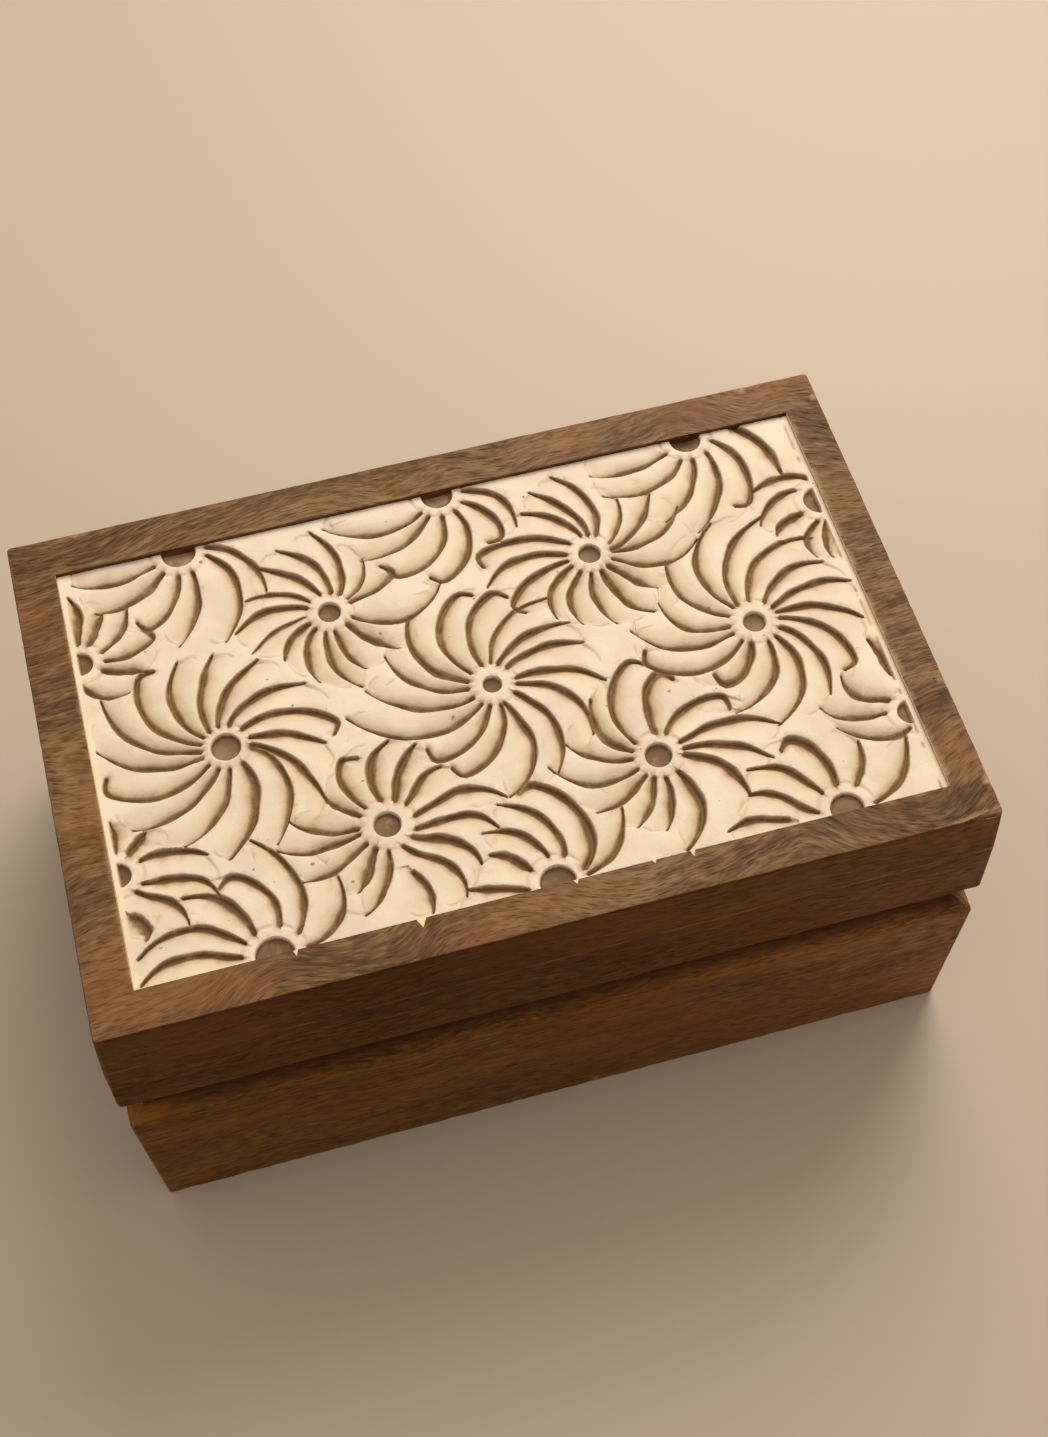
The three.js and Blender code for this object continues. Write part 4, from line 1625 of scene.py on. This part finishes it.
@dataclass(frozen=True)
class Grooving:
    """How the cuts between the petals are made, in millimetres.

    The walls and the stain on them run over the groove's own half width. Its width sways in two waves, each with its
    share, its turns along the cut and its turn from one cut to the next, and it trembles sideways in the same way.
    """

    read_at: float = 5.0
    points: int = 15
    first_gap: float = 0.35
    overrun: float = 0.3
    tremble: tuple[float, float, float] = (0.09, 0.9, 1.7)
    hook_points: int = 6
    hook_drop: float = 0.9
    hook_bend: float = 1.6
    hook_softening: int = 2
    width: float = 0.78
    depth: float = 1.0
    deepest: float = 1.15
    even_depth: float = 0.75
    sway: tuple[float, float, float] = (0.12, 9, 2.1)
    flutter: tuple[float, float, float] = (0.07, 23, 1)
    swell: tuple[float, float, float] = (0.8, 0.3, 0.3)
    full: float = 1.04
    run_out: float = 0.68
    hooked_run_out: float = 0.42
    run_out_from: float = 0.62
    steep_wall: Steps = ((1, 1.5, 0.1),)
    soft_wall: Steps = ((0.72, 1.9, 0.1), (0.28, 5.5, 0.5))
    steep_stain: Steps = ((1, 1.9, 0.2),)
    soft_stain: Steps = ((0.55, 2.3, 0.3), (0.26, 4.2, 0.6), (0.19, 8.5, 1.0))
    stain_reach: float = 3.6
    stain_fade: float = 1.0

    def first(self, cut: Cut) -> float:
        """The radius at which a cut's first angle was read."""
        return cut.begin or self.read_at

    def path(self, flower: "Flower", cut: Cut, number: int) -> np.ndarray:
        """Draws the middle line of a cut.

        Args:
            flower: The flower that it belongs to.
            cut: The cut.
            number: Its number in the flower.

        Returns:
            The line's points from its start to its end.
        """
        radii = np.linspace(cut.begin or flower.ring / 2 + self.first_gap, cut.reach + self.overrun, self.points)
        angles = np.radians(cut.bearing(radii, self.first(cut)))
        share, rate, step = self.tremble
        angles += share / radii * np.sin(step * number + flower.middle[0] + rate * radii)
        if cut.hook:
            turn = np.linspace(0, 1, self.hook_points)[1:]
            side = flower.swirl.value * np.sign(cut.hook)
            angles = np.concatenate([angles, angles[-1] + side * turn * abs(cut.hook) / cut.reach])
            radii = np.concatenate([radii, cut.reach - self.hook_drop * turn ** self.hook_bend])
        path = np.stack([radii * np.cos(angles), radii * np.sin(angles)], 1)
        for _ in range(self.hook_softening if cut.hook else 0):
            path[1:-1] = (path[:-2] + 2 * path[1:-1] + path[2:]) / 4
        return path

    def taper(self, cut: Cut, along: np.ndarray) -> np.ndarray:
        """How the width swells and runs out.

        Args:
            cut: The cut.
            along: How far along it each point lies, from 0 to 1.

        Returns:
            The share of its width at each point.
        """
        least, gain, until = self.swell
        run_out = self.hooked_run_out if cut.hook else self.run_out
        swell = least + gain * smooth(along, 0, until)
        return swell * (self.full - run_out * smooth(along, self.run_out_from, 1))

    def sways(self, along: np.ndarray, number: int, shift: float) -> np.ndarray:
        """How the width sways.

        Args:
            along: How far along the cut each point lies, from 0 to 1.
            number: The cut's number in its flower.
            shift: The turn that the sway starts from.

        Returns:
            The factor of its width at each point.
        """
        share, rate, step = self.sway
        small, fast, small_step = self.flutter
        sway = share * np.sin(along * rate + number * step + shift)
        return 1 + sway + small * np.sin(along * fast + number * small_step)


@dataclass(frozen=True)
class Petals:
    """How the petals are rounded between their cuts, in millimetres, and their widest turn in degrees."""

    beyond: float = 4
    before: float = 1.5
    widest_turn: float = 60
    widest: float = 5.0
    tip_lead: float = 1.5
    tip_round: float = 0.7
    tip_back: float = 0.2
    tip_fade: Range = (-0.15, 0.55)
    root_fade: float = 3
    scoop: float = 0.55
    scoop_bend: float = 1.7
    tint_bend: float = 1.2
    tint_root: float = 0.3
    tint_fade: Range = (0.35, 1.0)
    lip_width: float = 0.45
    lip_from: float = 0.7
    lip_depth: float = 0.12
    lip_stain: float = 0.29


@dataclass(frozen=True)
class Centre:
    """How a flower's ring and disc are made, in millimetres."""

    line_gap: float = 0.25
    line_width: float = 0.6
    line_depth: float = 0.2
    line_stain: float = 0.24
    wall: float = 0.22
    depth: float = 1.0
    dimple: float = 0.18
    stain: Range = (0.3, 0.85)
    bare_from: float = 0.5


# The turn in degrees that stands for no cut being there, and one that is wider than any real turn.
NOWHERE, ANY_TURN = 999.0, 400.0


@dataclass(frozen=True)
class Flower:
    """A carved flower: a sunk disc, a raised ring and the cuts between its petals, in millimetres."""

    middle: tuple[float, float]
    disc: float
    ring: float
    swirl: Swirl
    cuts: tuple[tuple[float, ...], ...]
    grooving: Grooving = Grooving()
    petals: Petals = Petals()
    centre: Centre = Centre()
    beyond: float = 2.5

    def carve(self, x: np.ndarray, y: np.ndarray, relief: Relief) -> None:
        """Carves the flower into a relief.

        Args:
            x: The points' places along the width, in millimetres.
            y: Their places along the depth.
            relief: The relief, which is changed in place.
        """
        cuts = [Cut(*row) for row in self.cuts]
        limit = max(cut.reach for cut in cuts) + self.beyond
        near = np.nonzero((np.abs(x - self.middle[0]) < limit) & (np.abs(y - self.middle[1]) < limit))[0]
        if not near.size:
            return
        dx, dy = x[near] - self.middle[0], y[near] - self.middle[1]
        radius = np.hypot(dx, dy)
        self._scoop(radius, np.degrees(np.arctan2(dy, dx)), cuts, near, relief)
        for number, cut in enumerate(cuts):
            self._groove(dx, dy, cut, number, near, relief)
        self._sink_disc(radius, near, relief)

    def _turns(self, radius: np.ndarray, angle: np.ndarray, cuts: list[Cut]) -> tuple[np.ndarray, np.ndarray]:
        """Measures the turn from each point to each cut, both ways round.

        Args:
            radius: The points' distances from the flower's middle.
            angle: Their angles in degrees.
            cuts: The cuts.

        Returns:
            The turns to the cuts ahead and behind, a row for each cut.
        """
        ahead = np.full((len(cuts), radius.size), NOWHERE)
        behind = np.full((len(cuts), radius.size), NOWHERE)
        for number, cut in enumerate(cuts):
            start = cut.begin - self.petals.before if cut.begin else 0
            live = (radius < cut.reach + self.petals.beyond) & (radius > start)
            bearing = cut.bearing(np.maximum(radius, self.ring / 2), self.grooving.first(cut))
            gap = ((bearing - angle) * -self.swirl.value) % 360
            ahead[number] = np.where(live, gap, NOWHERE)
            behind[number] = np.where(live, 360 - gap, NOWHERE)
        return ahead, behind

    def _scoop(self, radius: np.ndarray, angle: np.ndarray, cuts: list[Cut], near: np.ndarray,
               relief: Relief) -> None:
        """Hollows each petal towards the cut on its inner side, and draws its tip.

        Args:
            radius: The points' distances from the flower's middle.
            angle: Their angles in degrees.
            cuts: The cuts.
            near: The points' rows in the relief.
            relief: The relief, which is changed in place.
        """
        petals = self.petals
        ahead, behind = self._turns(radius, angle, cuts)
        inner, outer = ahead.argmin(0), behind.argmin(0)
        columns = np.arange(radius.size)
        to_inner, to_outer = ahead[inner, columns], behind[outer, columns]
        reaches = np.array([cut.reach for cut in cuts])
        arc = np.radians(np.minimum(to_inner + to_outer, petals.widest_turn)) * np.maximum(radius, 1)
        share = np.clip(np.radians(to_inner) * radius / np.minimum(arc, petals.widest), 0, 1)
        tip = np.minimum(reaches[inner] * (1 - share) + reaches[outer] * share, reaches[inner] + petals.tip_lead)
        tip = tip + petals.tip_round * np.sin(math.pi * share) - petals.tip_back
        counts = smooth(to_inner, NOWHERE, ANY_TURN)
        fade = smooth(tip - radius, *petals.tip_fade)
        fade = fade * smooth(radius, self.ring / 2, self.ring / 2 + petals.root_fade) * counts
        relief.sink(near, -petals.scoop * ((1 - share) ** petals.scoop_bend * fade))
        outward = smooth(radius / np.maximum(tip, 1), *petals.tint_fade)
        glaze = petals.tint_root + (1 - petals.tint_root) * outward
        relief.mark("tint", near, (1 - share) ** petals.tint_bend * fade * glaze)
        lip = smooth(np.abs(radius - tip), petals.lip_width, 0) * smooth(share, 1, petals.lip_from) * counts
        relief.sink(near, -petals.lip_depth * lip)
        relief.mark("stain", near, petals.lip_stain * lip)

    def _groove(self, dx: np.ndarray, dy: np.ndarray, cut: Cut, number: int, near: np.ndarray,
                relief: Relief) -> None:
        """Cuts one groove, with its steep wall on the outer side of its bend.

        Args:
            dx: The points' places from the flower's middle along the width.
            dy: Their places along the depth.
            cut: The groove's cut.
            number: Its number in the flower.
            near: The points' rows in the relief.
            relief: The relief, which is changed in place.
        """
        way = self.grooving
        path = way.path(self, cut, number)
        low, high = path.min(0) - way.stain_reach, path.max(0) + way.stain_reach
        inside = np.nonzero((dx > low[0]) & (dx < high[0]) & (dy > low[1]) & (dy < high[1]))[0]
        if not inside.size:
            return
        offset, along = self._beside(path, np.stack([dx[inside], dy[inside]], 1))
        taper = way.taper(cut, along)
        place = offset / (way.width / 2 * cut.width * way.sways(along, number, self.middle[1]) * taper)
        wall = np.where(place < 0, climb(-place, way.steep_wall), climb(place, way.soft_wall))
        stain = np.where(place < 0, climb(-place, way.steep_stain), climb(place, way.soft_stain))
        depth = way.depth * min(cut.width, way.deepest) * (way.even_depth + (1 - way.even_depth) * taper)
        reached = smooth(np.abs(offset), way.stain_reach, way.stain_reach - way.stain_fade)
        relief.groove(near[inside], wall, stain * reached, depth)

    def _beside(self, path: np.ndarray, points: np.ndarray) -> tuple[np.ndarray, np.ndarray]:
        """Measures how some points lie beside a line.

        Args:
            path: The line's points.
            points: The points.

        Returns:
            How far each lies to the line's soft side, and how far along it, from 0 to 1.
        """
        nearest = np.full(len(points), np.inf)
        offset, along = np.zeros(len(points)), np.zeros(len(points))
        for step, (start, end) in enumerate(zip(path, path[1:])):
            way = end - start
            share = np.clip((points - start) @ way / np.hypot(*way) ** 2, 0, 1)
            gap = points - start - share[:, None] * way
            distance = np.hypot(gap[:, 0], gap[:, 1])
            closer = distance < nearest
            nearest = np.where(closer, distance, nearest)
            side = np.sign((way[0] * gap[:, 1] - way[1] * gap[:, 0])) * self.swirl.value
            offset = np.where(closer, distance * side, offset)
            along = np.where(closer, (step + share) / (len(path) - 1), along)
        return offset, along

    def _sink_disc(self, radius: np.ndarray, near: np.ndarray, relief: Relief) -> None:
        """Leaves the ring proud and sinks the disc.

        Args:
            radius: The points' distances from the flower's middle.
            near: The points' rows in the relief.
            relief: The relief, which is changed in place.
        """
        centre, half = self.centre, self.disc / 2
        line = smooth(np.abs(radius - self.ring / 2 - centre.line_gap), centre.line_width, 0)
        relief.sink(near, -centre.line_depth * line)
        relief.mark("stain", near, centre.line_stain * line)
        hole = smooth(radius, half + centre.wall, half - centre.wall)
        rows, radius, hole = near[hole > 0], radius[hole > 0], hole[hole > 0]
        depth = centre.depth + centre.dimple * smooth(radius, half, 0.0)
        relief.height[rows] = relief.height[rows] * (1 - hole) - depth * hole
        relief.mark("stain", rows, smooth(hole, *centre.stain))
        relief.mark("disc", rows, smooth(radius, half, half - centre.bare_from))


ROUND, CLOCK = Swirl.ANTICLOCKWISE, Swirl.CLOCKWISE

# Each flower: its middle, its disc's and its ring's diameter, its turn and its cuts. Each cut: its angle where it
# starts, midway and where it ends, its reach, and where they aren't as usual its width, its hook and its start.
FLOWERS = (
    Flower((-45.45, -1.0), 5.0, 8.1, CLOCK, (
        (10, -1, -12, 16.5), (40, 21, 1, 19.3, 1, HOOK), (71, 50, 31, 17.6), (95, 78, 62, 17.6),
        (119, 101, 87, 18.5), (140, 127, 106, 19.2), (158, 148, 125, 21.4, 1, HOOK), (176, 164, 143, 23.6),
        (195, 184, 168, 21.4), (220, 210, 190, 21.4, 1, HOOK), (242, 230, 214, 20.9), (267, 256, 240, 19.2),
        (301, 282, 262, 20.9, THICK), (343, 313, 284, 20.6), (350, 330, 314, 20.3),
    )),
    Flower((-22.75, 21.0), 3.9, 7.8, ROUND, (
        (14, 15, 22, 14, 1, HOOK), (28, 36, 49, 12.5, THIN), (53, 70, 88, 17.5), (76, 92, 111, 16.4),
        (102, 117, 129, 16.2), (132, 141, 155, 14.8, THIN), (152, 162, 179, 16.4), (180, 188, 198, 15.3, FAINT),
        (199, 206, 217, 12), (221, 233, 250, 14.2), (250, 260, 276, 16.4), (271, 276, 284, 13.3),
        (305, 307, 313, 14.2, THICK), (330, 336, 361, 20),
    )),
    Flower((0.95, -1.0), 3.2, 8.0, CLOCK, (
        (5, 0, -12, 19.2), (38, 27, 14, 17.6), (60, 45, 29, 18.1), (80, 68, 48, 19.8, THIN),
        (103, 96, 76, 19.2, 1, HOOK), (133, 122, 95, 19.8, 1, HOOK), (157, 146, 124, 19.8, THICK),
        (179, 167, 149, 19.2), (205, 187, 169, 21.4), (229, 208, 181, 25.3), (250, 241, 224, 17.8, 1, HOOK),
        (276, 262, 242, 18.7, 1, HOOK), (286, 286, 264, 22), (321, 310, 289, 20.3), (348, 339, 316, 19.6),
    )),
    Flower((-22.65, -22.6), 4.5, 9.1, CLOCK, (
        (6, 14, 0, 20), (37, 43, 38, 13.7), (64, 66, 60, 15.5, THICK), (93, 94, 78, 15.6, THICK),
        (125, 123, 110, 14.7, 1, HOOK), (146, 145, 139, 11.4), (176, 173, 162, 16.4), (188, 189, 181, 18.1),
        (212, 212, 204, 16.7), (235, 238, 237, 12.7, THICK), (261, 257, 246, 16.4),
        (283, 286, 282, 17.6, 1, 0, 9.8), (290, 309, 301, 18.4), (319, 330, 321, 16.9, THICK), (338, 353, 344, 18.1),
    )),
    Flower((24.65, 20.8), 3.9, 7.9, ROUND, (
        (2, 20, 35, 17.5), (21, 36, 50, 12.8, THIN), (57, 74, 95, 18.1), (78, 97, 112, 17), (97, 112, 127, 14.8),
        (133, 149, 165, 20, 1, HOOK), (164, 168, 185, 19.2), (185, 191, 203, 17.8, 1, HOOK), (205, 212, 230, 14.8),
        (230, 233, 248, 14.8), (256, 260, 271, 15.3), (283, 284, 295, 16.4, THICK), (307, 308, 312, 13.7, THICK),
        (329, 333, 352, 19.2), (351, 360, 377, 19),
    )),
    Flower((24.2, -22.0), 4.5, 8.4, CLOCK, (
        (20, 15, 2, 21.4), (58, 47, 31, 16.4, 1, HOOK), (83, 85, 74, 16.4, THICK, HOOK), (132, 115, 90, 19.2, 1, HOOK),
        (155, 143, 122, 15.3, THICK), (176, 169, 158, 15.3), (202, 194, 173, 18.3), (225, 221, 212, 14.8),
        (246, 246, 240, 13.9), (270, 267, 259, 13.9), (300, 291, 269, 18.1, THICK), (346, 336, 319, 16.4, THICK),
        (363, 355, 344, 18.9),
    )),
    Flower((48.3, -0.9), 3.9, 8.6, CLOCK, (
        (12, 2, -12, 18.7), (29, 24, 12, 19.2), (51, 47, 31, 17.8), (84, 70, 44, 21.2), (112, 93, 69, 22.6),
        (126, 118, 93, 22), (150, 144, 124, 19.8), (177, 174, 153, 16.8), (198, 190, 171, 21.4),
        (225, 214, 190, 21.2, 1, HOOK), (246, 245, 232, 14.2, THICK, HOOK), (283, 268, 243, 18.7),
        (306, 291, 264, 20.9), (331, 315, 295, 18.9), (355, 341, 320, 18.9, 1, HOOK),
    )),
    Flower((-46.0, 40.75), 6.0, 9.6, CLOCK, (
        (202, 198, 187, 19.2), (229, 223, 210, 18.3, THICK), (261, 256, 243, 17, 1, HOOK), (289, 276, 261, 19.8),
        (340, 313, 284, 21.2), (361, 341, 319, 18.1),
    )),
    Flower((1.55, 40.75), 5.6, 9.2, CLOCK, (
        (221, 206, 186, 21.4), (239, 229, 213, 19.2), (269, 260, 236, 19.2, 1, HOOK), (301, 286, 262, 19.2, 1, HOOK),
        (327, 323, 308, 15.2, 1, HOOK), (357, 346, 321, 15.9),
    )),
    Flower((48.85, 40.8), 5.6, 9.2, CLOCK, (
        (208, 201, 191, 19.3), (245, 227, 206, 19.8), (270, 258, 243, 18.7), (306, 281, 260, 21),
        (343, 317, 293, 18.4, 1, HOOK), (361, 340, 322, 18.7, THICK, 0, 10),
    )),
    Flower((-45.15, -40.8), 6.5, 10.2, ROUND, (
        (2, 14, 39, 16.5), (33, 61, 88, 21), (69, 82, 104, 16.4, 1, HOOK), (116, 115, 130, 18.4, THICK),
        (141, 143, 165, 21.5), (167, 164, 178, 21.5),
    )),
    Flower((1.6, -40.3), 6.0, 9.6, ROUND, (
        (1, 16, 36, 17), (14, 50, 86, 18.7, THICK, HOOK), (62, 83, 108, 17.2), (94, 107, 127, 15),
        (136, 134, 139, 11.8, THICK), (178, 171, 170, 14.5),
    )),
    Flower((51.2, -40.05), 5.6, 9.2, ROUND, (
        (-2, 17, 38, 18), (50, 54, 61, 12.8), (91, 93, 107, 16, THICK, HOOK), (128, 126, 139, 17.4),
        (172, 153, 155, 16), (176, 172, 176, 20, 1, 0, 10),
    )),
    Flower((-66.65, 21.95), 4.5, 8.2, ROUND, (
        (20, 31, 45, 14), (-7, -2, 8, 13.5, 1, HOOK), (58, 59, 60, 11, THICK), (84, 82, 88, 14, THICK),
        (268, 287, 310, 10.5), (328, 334, 338, 11.5, THICK),
    )),
    Flower((-67.0, -20.1), 4.4, 8.2, CLOCK, (
        (24, 13, 1, 14.5), (55, 53, 51, 8.5, THICK), (308, 318, 311, 14.8), (332, 344, 334, 17),
        (280, 286, 283, 12.4, 1.8, 0, 8), (86, 87, 88, 9.8),
    )),
    Flower((68.1, 21.1), 5.6, 9.0, ROUND, (
        (92, 128, 157, 12.3), (139, 166, 190, 12), (204, 201, 207, 11, THICK), (244, 236, 247, 12.5),
        (264, 257, 261, 12.5),
    )),
    Flower((67.9, -25.35), 4.4, 8.0, CLOCK, (
        (94, 95, 97, 15.5, THICK, 0, 8), (138, 146, 134, 13, THICK), (171, 173, 163, 15),
        (246, 206, 180, 12.8, 1, 0, 3.4),
    )),
)


@dataclass
class CarvedPanel:
    """The painted panel in the lid's field, with its carved flowers and a broken line scribed by its right edge.

    Its borders, the scribed line and the waves of its ground are in millimetres. The line breaks and the ground waves
    as sines do, each with its turns per millimetre and how far another sine swings them.
    """

    low: tuple[float, float] = (-67.75 * MM, -41.0 * MM)
    high: tuple[float, float] = (68.65 * MM, 41.1 * MM)
    foot: float = FIELD_FLOOR
    face: float = 70.2 * MM
    step: float = 0.16 * MM
    quick_step: float = 0.32 * MM
    most_faces: int = 186_000
    border: float = 1.0
    border_fade: float = 0.25
    front_border: float = 0.45
    front_fade: float = 0.2
    scribed_in: float = 1.15
    scribed_width: float = 0.5
    scribed_depth: float = 0.25
    scribed_stain: float = 0.5
    scribed_breaks: tuple[float, float, float, float] = (1.1, 2, 0.6, -0.6)
    wave_depth: float = 0.05
    waves: tuple[float, float, float, float] = (0.61, 0.4, 0.5, 0.53)
    flowers: tuple[Flower, ...] = FLOWERS

    def _relief(self, points: np.ndarray) -> Relief:
        """Carves all the flowers over some points.

        Args:
            points: Their places, in metres.

        Returns:
            The carved surface over them.
        """
        x, y = points[:, 0] / MM, points[:, 1] / MM
        relief = Relief(len(points))
        for flower in self.flowers:
            flower.carve(x, y, relief)
        edge = np.minimum(x - self.low[0] / MM, self.high[0] / MM - x)
        front = y - self.low[1] / MM
        keep = np.minimum(
            smooth(edge, self.border - self.border_fade, self.border + self.border_fade),
            smooth(front, self.front_border - self.front_fade, self.front_border + self.front_fade),
        )
        for values in (relief.height, relief.stain, relief.tint, relief.disc):
            values *= keep
        rate, swing, slow, least = self.scribed_breaks
        broken = smooth(np.sin(y * rate + swing * np.sin(y * slow)), least, 1)
        line = smooth(np.abs(self.high[0] / MM - x - self.scribed_in), self.scribed_width, 0) * broken
        everywhere = np.arange(len(x))
        relief.sink(everywhere, -self.scribed_depth * line)
        relief.mark("stain", everywhere, self.scribed_stain * line)
        across, swing, slow, along = self.waves
        waves = np.sin(x * across + swing * np.sin(y * slow)) * np.sin(y * along + 1)
        relief.height -= self.wave_depth * (1 + waves)
        return relief

    def build(self, paint: bpy.types.Material) -> None:
        """Makes the panel.

        Args:
            paint: Its finish.
        """
        step = self.step
        panel = Solid.sheet("carved_panel_painted", self.low, self.high, self.face, step)
        mesh = panel.body.data
        points = panel.points()
        points[:, 2] += self._relief(points).height * MM
        mesh.vertices.foreach_set("co", points.ravel())
        mesh.update()
        panel.apply("TRIANGULATE")
        panel.apply("DECIMATE", ratio=min(1, self.most_faces / len(mesh.polygons)))
        panel.close_below(self.foot)
        relief = self._relief(panel.points())
        for name in ("stain", "tint", "disc"):
            mark = mesh.attributes.new(name, "FLOAT", "POINT")
            mark.data.foreach_set("value", getattr(relief, name).astype(np.float32))
        panel.finish(paint, "carved_panel", "painted_carving", angle=50)


@dataclass(frozen=True)
class Studio:
    """The camera, the lamp, the sky and the floor."""

    camera_at: tuple[float, float, float] = (-0.039843, -0.177671, 0.361276)
    looks_along: tuple[float, float, float] = (0.13024726, 0.49669318, -0.85809763)
    right_hand: tuple[float, float, float] = (0.96430565, -0.26470302, -0.00685006)
    image_height: int = 1437
    focal_pixels: float = 2002.7
    sensor: float = 36.0
    lamp_towards: tuple[float, float, float] = (0.36, 0.59, 0.72)
    lamp_distance: float = 0.95
    lamp_size: float = 0.7
    lamp_power: float = 6.9
    lamp_colour: Colour = (1.0, 0.95, 0.88)
    seen: tuple[float, float] = (0.01, 20)
    sky: Colour = (1.0, 0.96, 0.90)
    sky_low: float = 0.05
    sky_high: float = 1.25
    sky_narrow: float = 2.6
    floor_size: float = 5.0

    def _look(self) -> None:
        """Places the camera at the photograph's viewing angle."""
        bpy.ops.object.camera_add(location=self.camera_at)
        camera = bpy.context.active_object
        ahead, right = Vector(self.looks_along).normalized(), Vector(self.right_hand)
        right = (right - ahead * right.dot(ahead)).normalized()
        up = right.cross(ahead)
        camera.rotation_mode = "QUATERNION"
        camera.rotation_quaternion = turn_to(right, up, -ahead)
        camera.data.sensor_width = self.sensor
        camera.data.lens = self.focal_pixels / self.image_height * self.sensor
        camera.data.clip_start, camera.data.clip_end = self.seen
        bpy.context.scene.camera = camera

    def _light(self) -> None:
        """Hangs the lamp and lights the sky."""
        towards = Vector(self.lamp_towards).normalized()
        bpy.ops.object.light_add(type="AREA", location=towards * self.lamp_distance)
        lamp = bpy.context.active_object
        lamp.rotation_mode = "QUATERNION"
        lamp.rotation_quaternion = towards.to_track_quat("Z", "Y")
        lamp.data.shape = "DISK"
        lamp.data.size = self.lamp_size
        lamp.data.energy = self.lamp_power
        lamp.data.color = self.lamp_colour
        world = bpy.data.worlds.new("studio_sky")
        world.use_nodes = True
        recipe = Recipe(world.node_tree)
        towards = recipe.node("SeparateXYZ", {"Vector": recipe.node("TexCoord").outputs["Generated"]})
        height = recipe.math("POWER", recipe.fit(towards.outputs["Z"], 0, 1, smooth=False), self.sky_narrow)
        strength = recipe.fit(height, 0, 1, self.sky_low, self.sky_high, smooth=False)
        shade = recipe.node("Background", {"Color": self.sky, "Strength": strength})
        recipe.node("OutputWorld", {"Surface": shade.outputs[0]})
        bpy.context.scene.world = world

    def _lay_floor(self) -> None:
        """Lays a plain pale floor."""
        bpy.ops.mesh.primitive_plane_add(size=self.floor_size)
        floor = bpy.context.active_object
        floor.name = "studio_floor"
        floor.data.materials.append(PaleFloor().make({}))

    def build(self) -> None:
        """Sets up the studio."""
        bpy.context.scene.view_settings.view_transform = "Standard"
        self._look()
        self._light()
        self._lay_floor()


def turn_to(right: Vector, up: Vector, back: Vector) -> Quaternion:
    """The turn that brings the axes to three given directions.

    Args:
        right: Where X goes.
        up: Where Y goes.
        back: Where Z goes.

    Returns:
        The turn.
    """
    return Matrix((right, up, back)).transposed().to_quaternion()


def main() -> None:
    """Builds the box and its studio, and reports each piece."""
    logging.basicConfig(level=logging.INFO, format="%(name)s: %(message)s")
    Studio().build()
    effects = {"wood_grain": HardwoodGrain().make(), "edge_wear": EdgeWear().make()}
    # The base gets a redder painted shade, which lightens more towards the right end.
    base_shading = PaintedShading(upright_shade=(1.24, 0.95, 0.30), right_end_light=(1.72, 1.46, 1.02))
    woods = {}
    for part, painted_shading in (("lid", PaintedShading()), ("base", base_shading)):
        along = WaxedWood(f"{part}_wood_along_width", Grain.ALONG_WIDTH, painted_shading).make(effects)
        across = WaxedWood(f"{part}_wood_along_depth", Grain.ALONG_DEPTH, painted_shading).make(effects)
        woods[part] = {Side.FRONT: along, Side.BACK: along, Side.LEFT: across, Side.RIGHT: across}
    top = WaxedWood("top_board_wood", Grain.ALONG_WIDTH, marks=TopBoardMarks(), red=(0.275, 0.106, 0.037),
                    contrast=4.7, pore_share=0.37)
    plain = WaxedWood("bottom_wood", Grain.ALONG_WIDTH, figure=0.4, contrast=3, roughness=0.62, wear=0.2)
    brass = AgedBrass().make(effects)
    hinges = tuple(Hinge(label, side * HINGE_ASIDE) for label, side in (("left", -1), ("right", 1)))
    Base(hinges).build(woods["base"], plain.make(effects))
    Lid(hinges).build(woods["lid"], top.make(effects))
    for hinge in hinges:
        hinge.build(brass)
    CarvedPanel().build(PaintedCarving().make(effects))


if __name__ == "__main__":
    main()
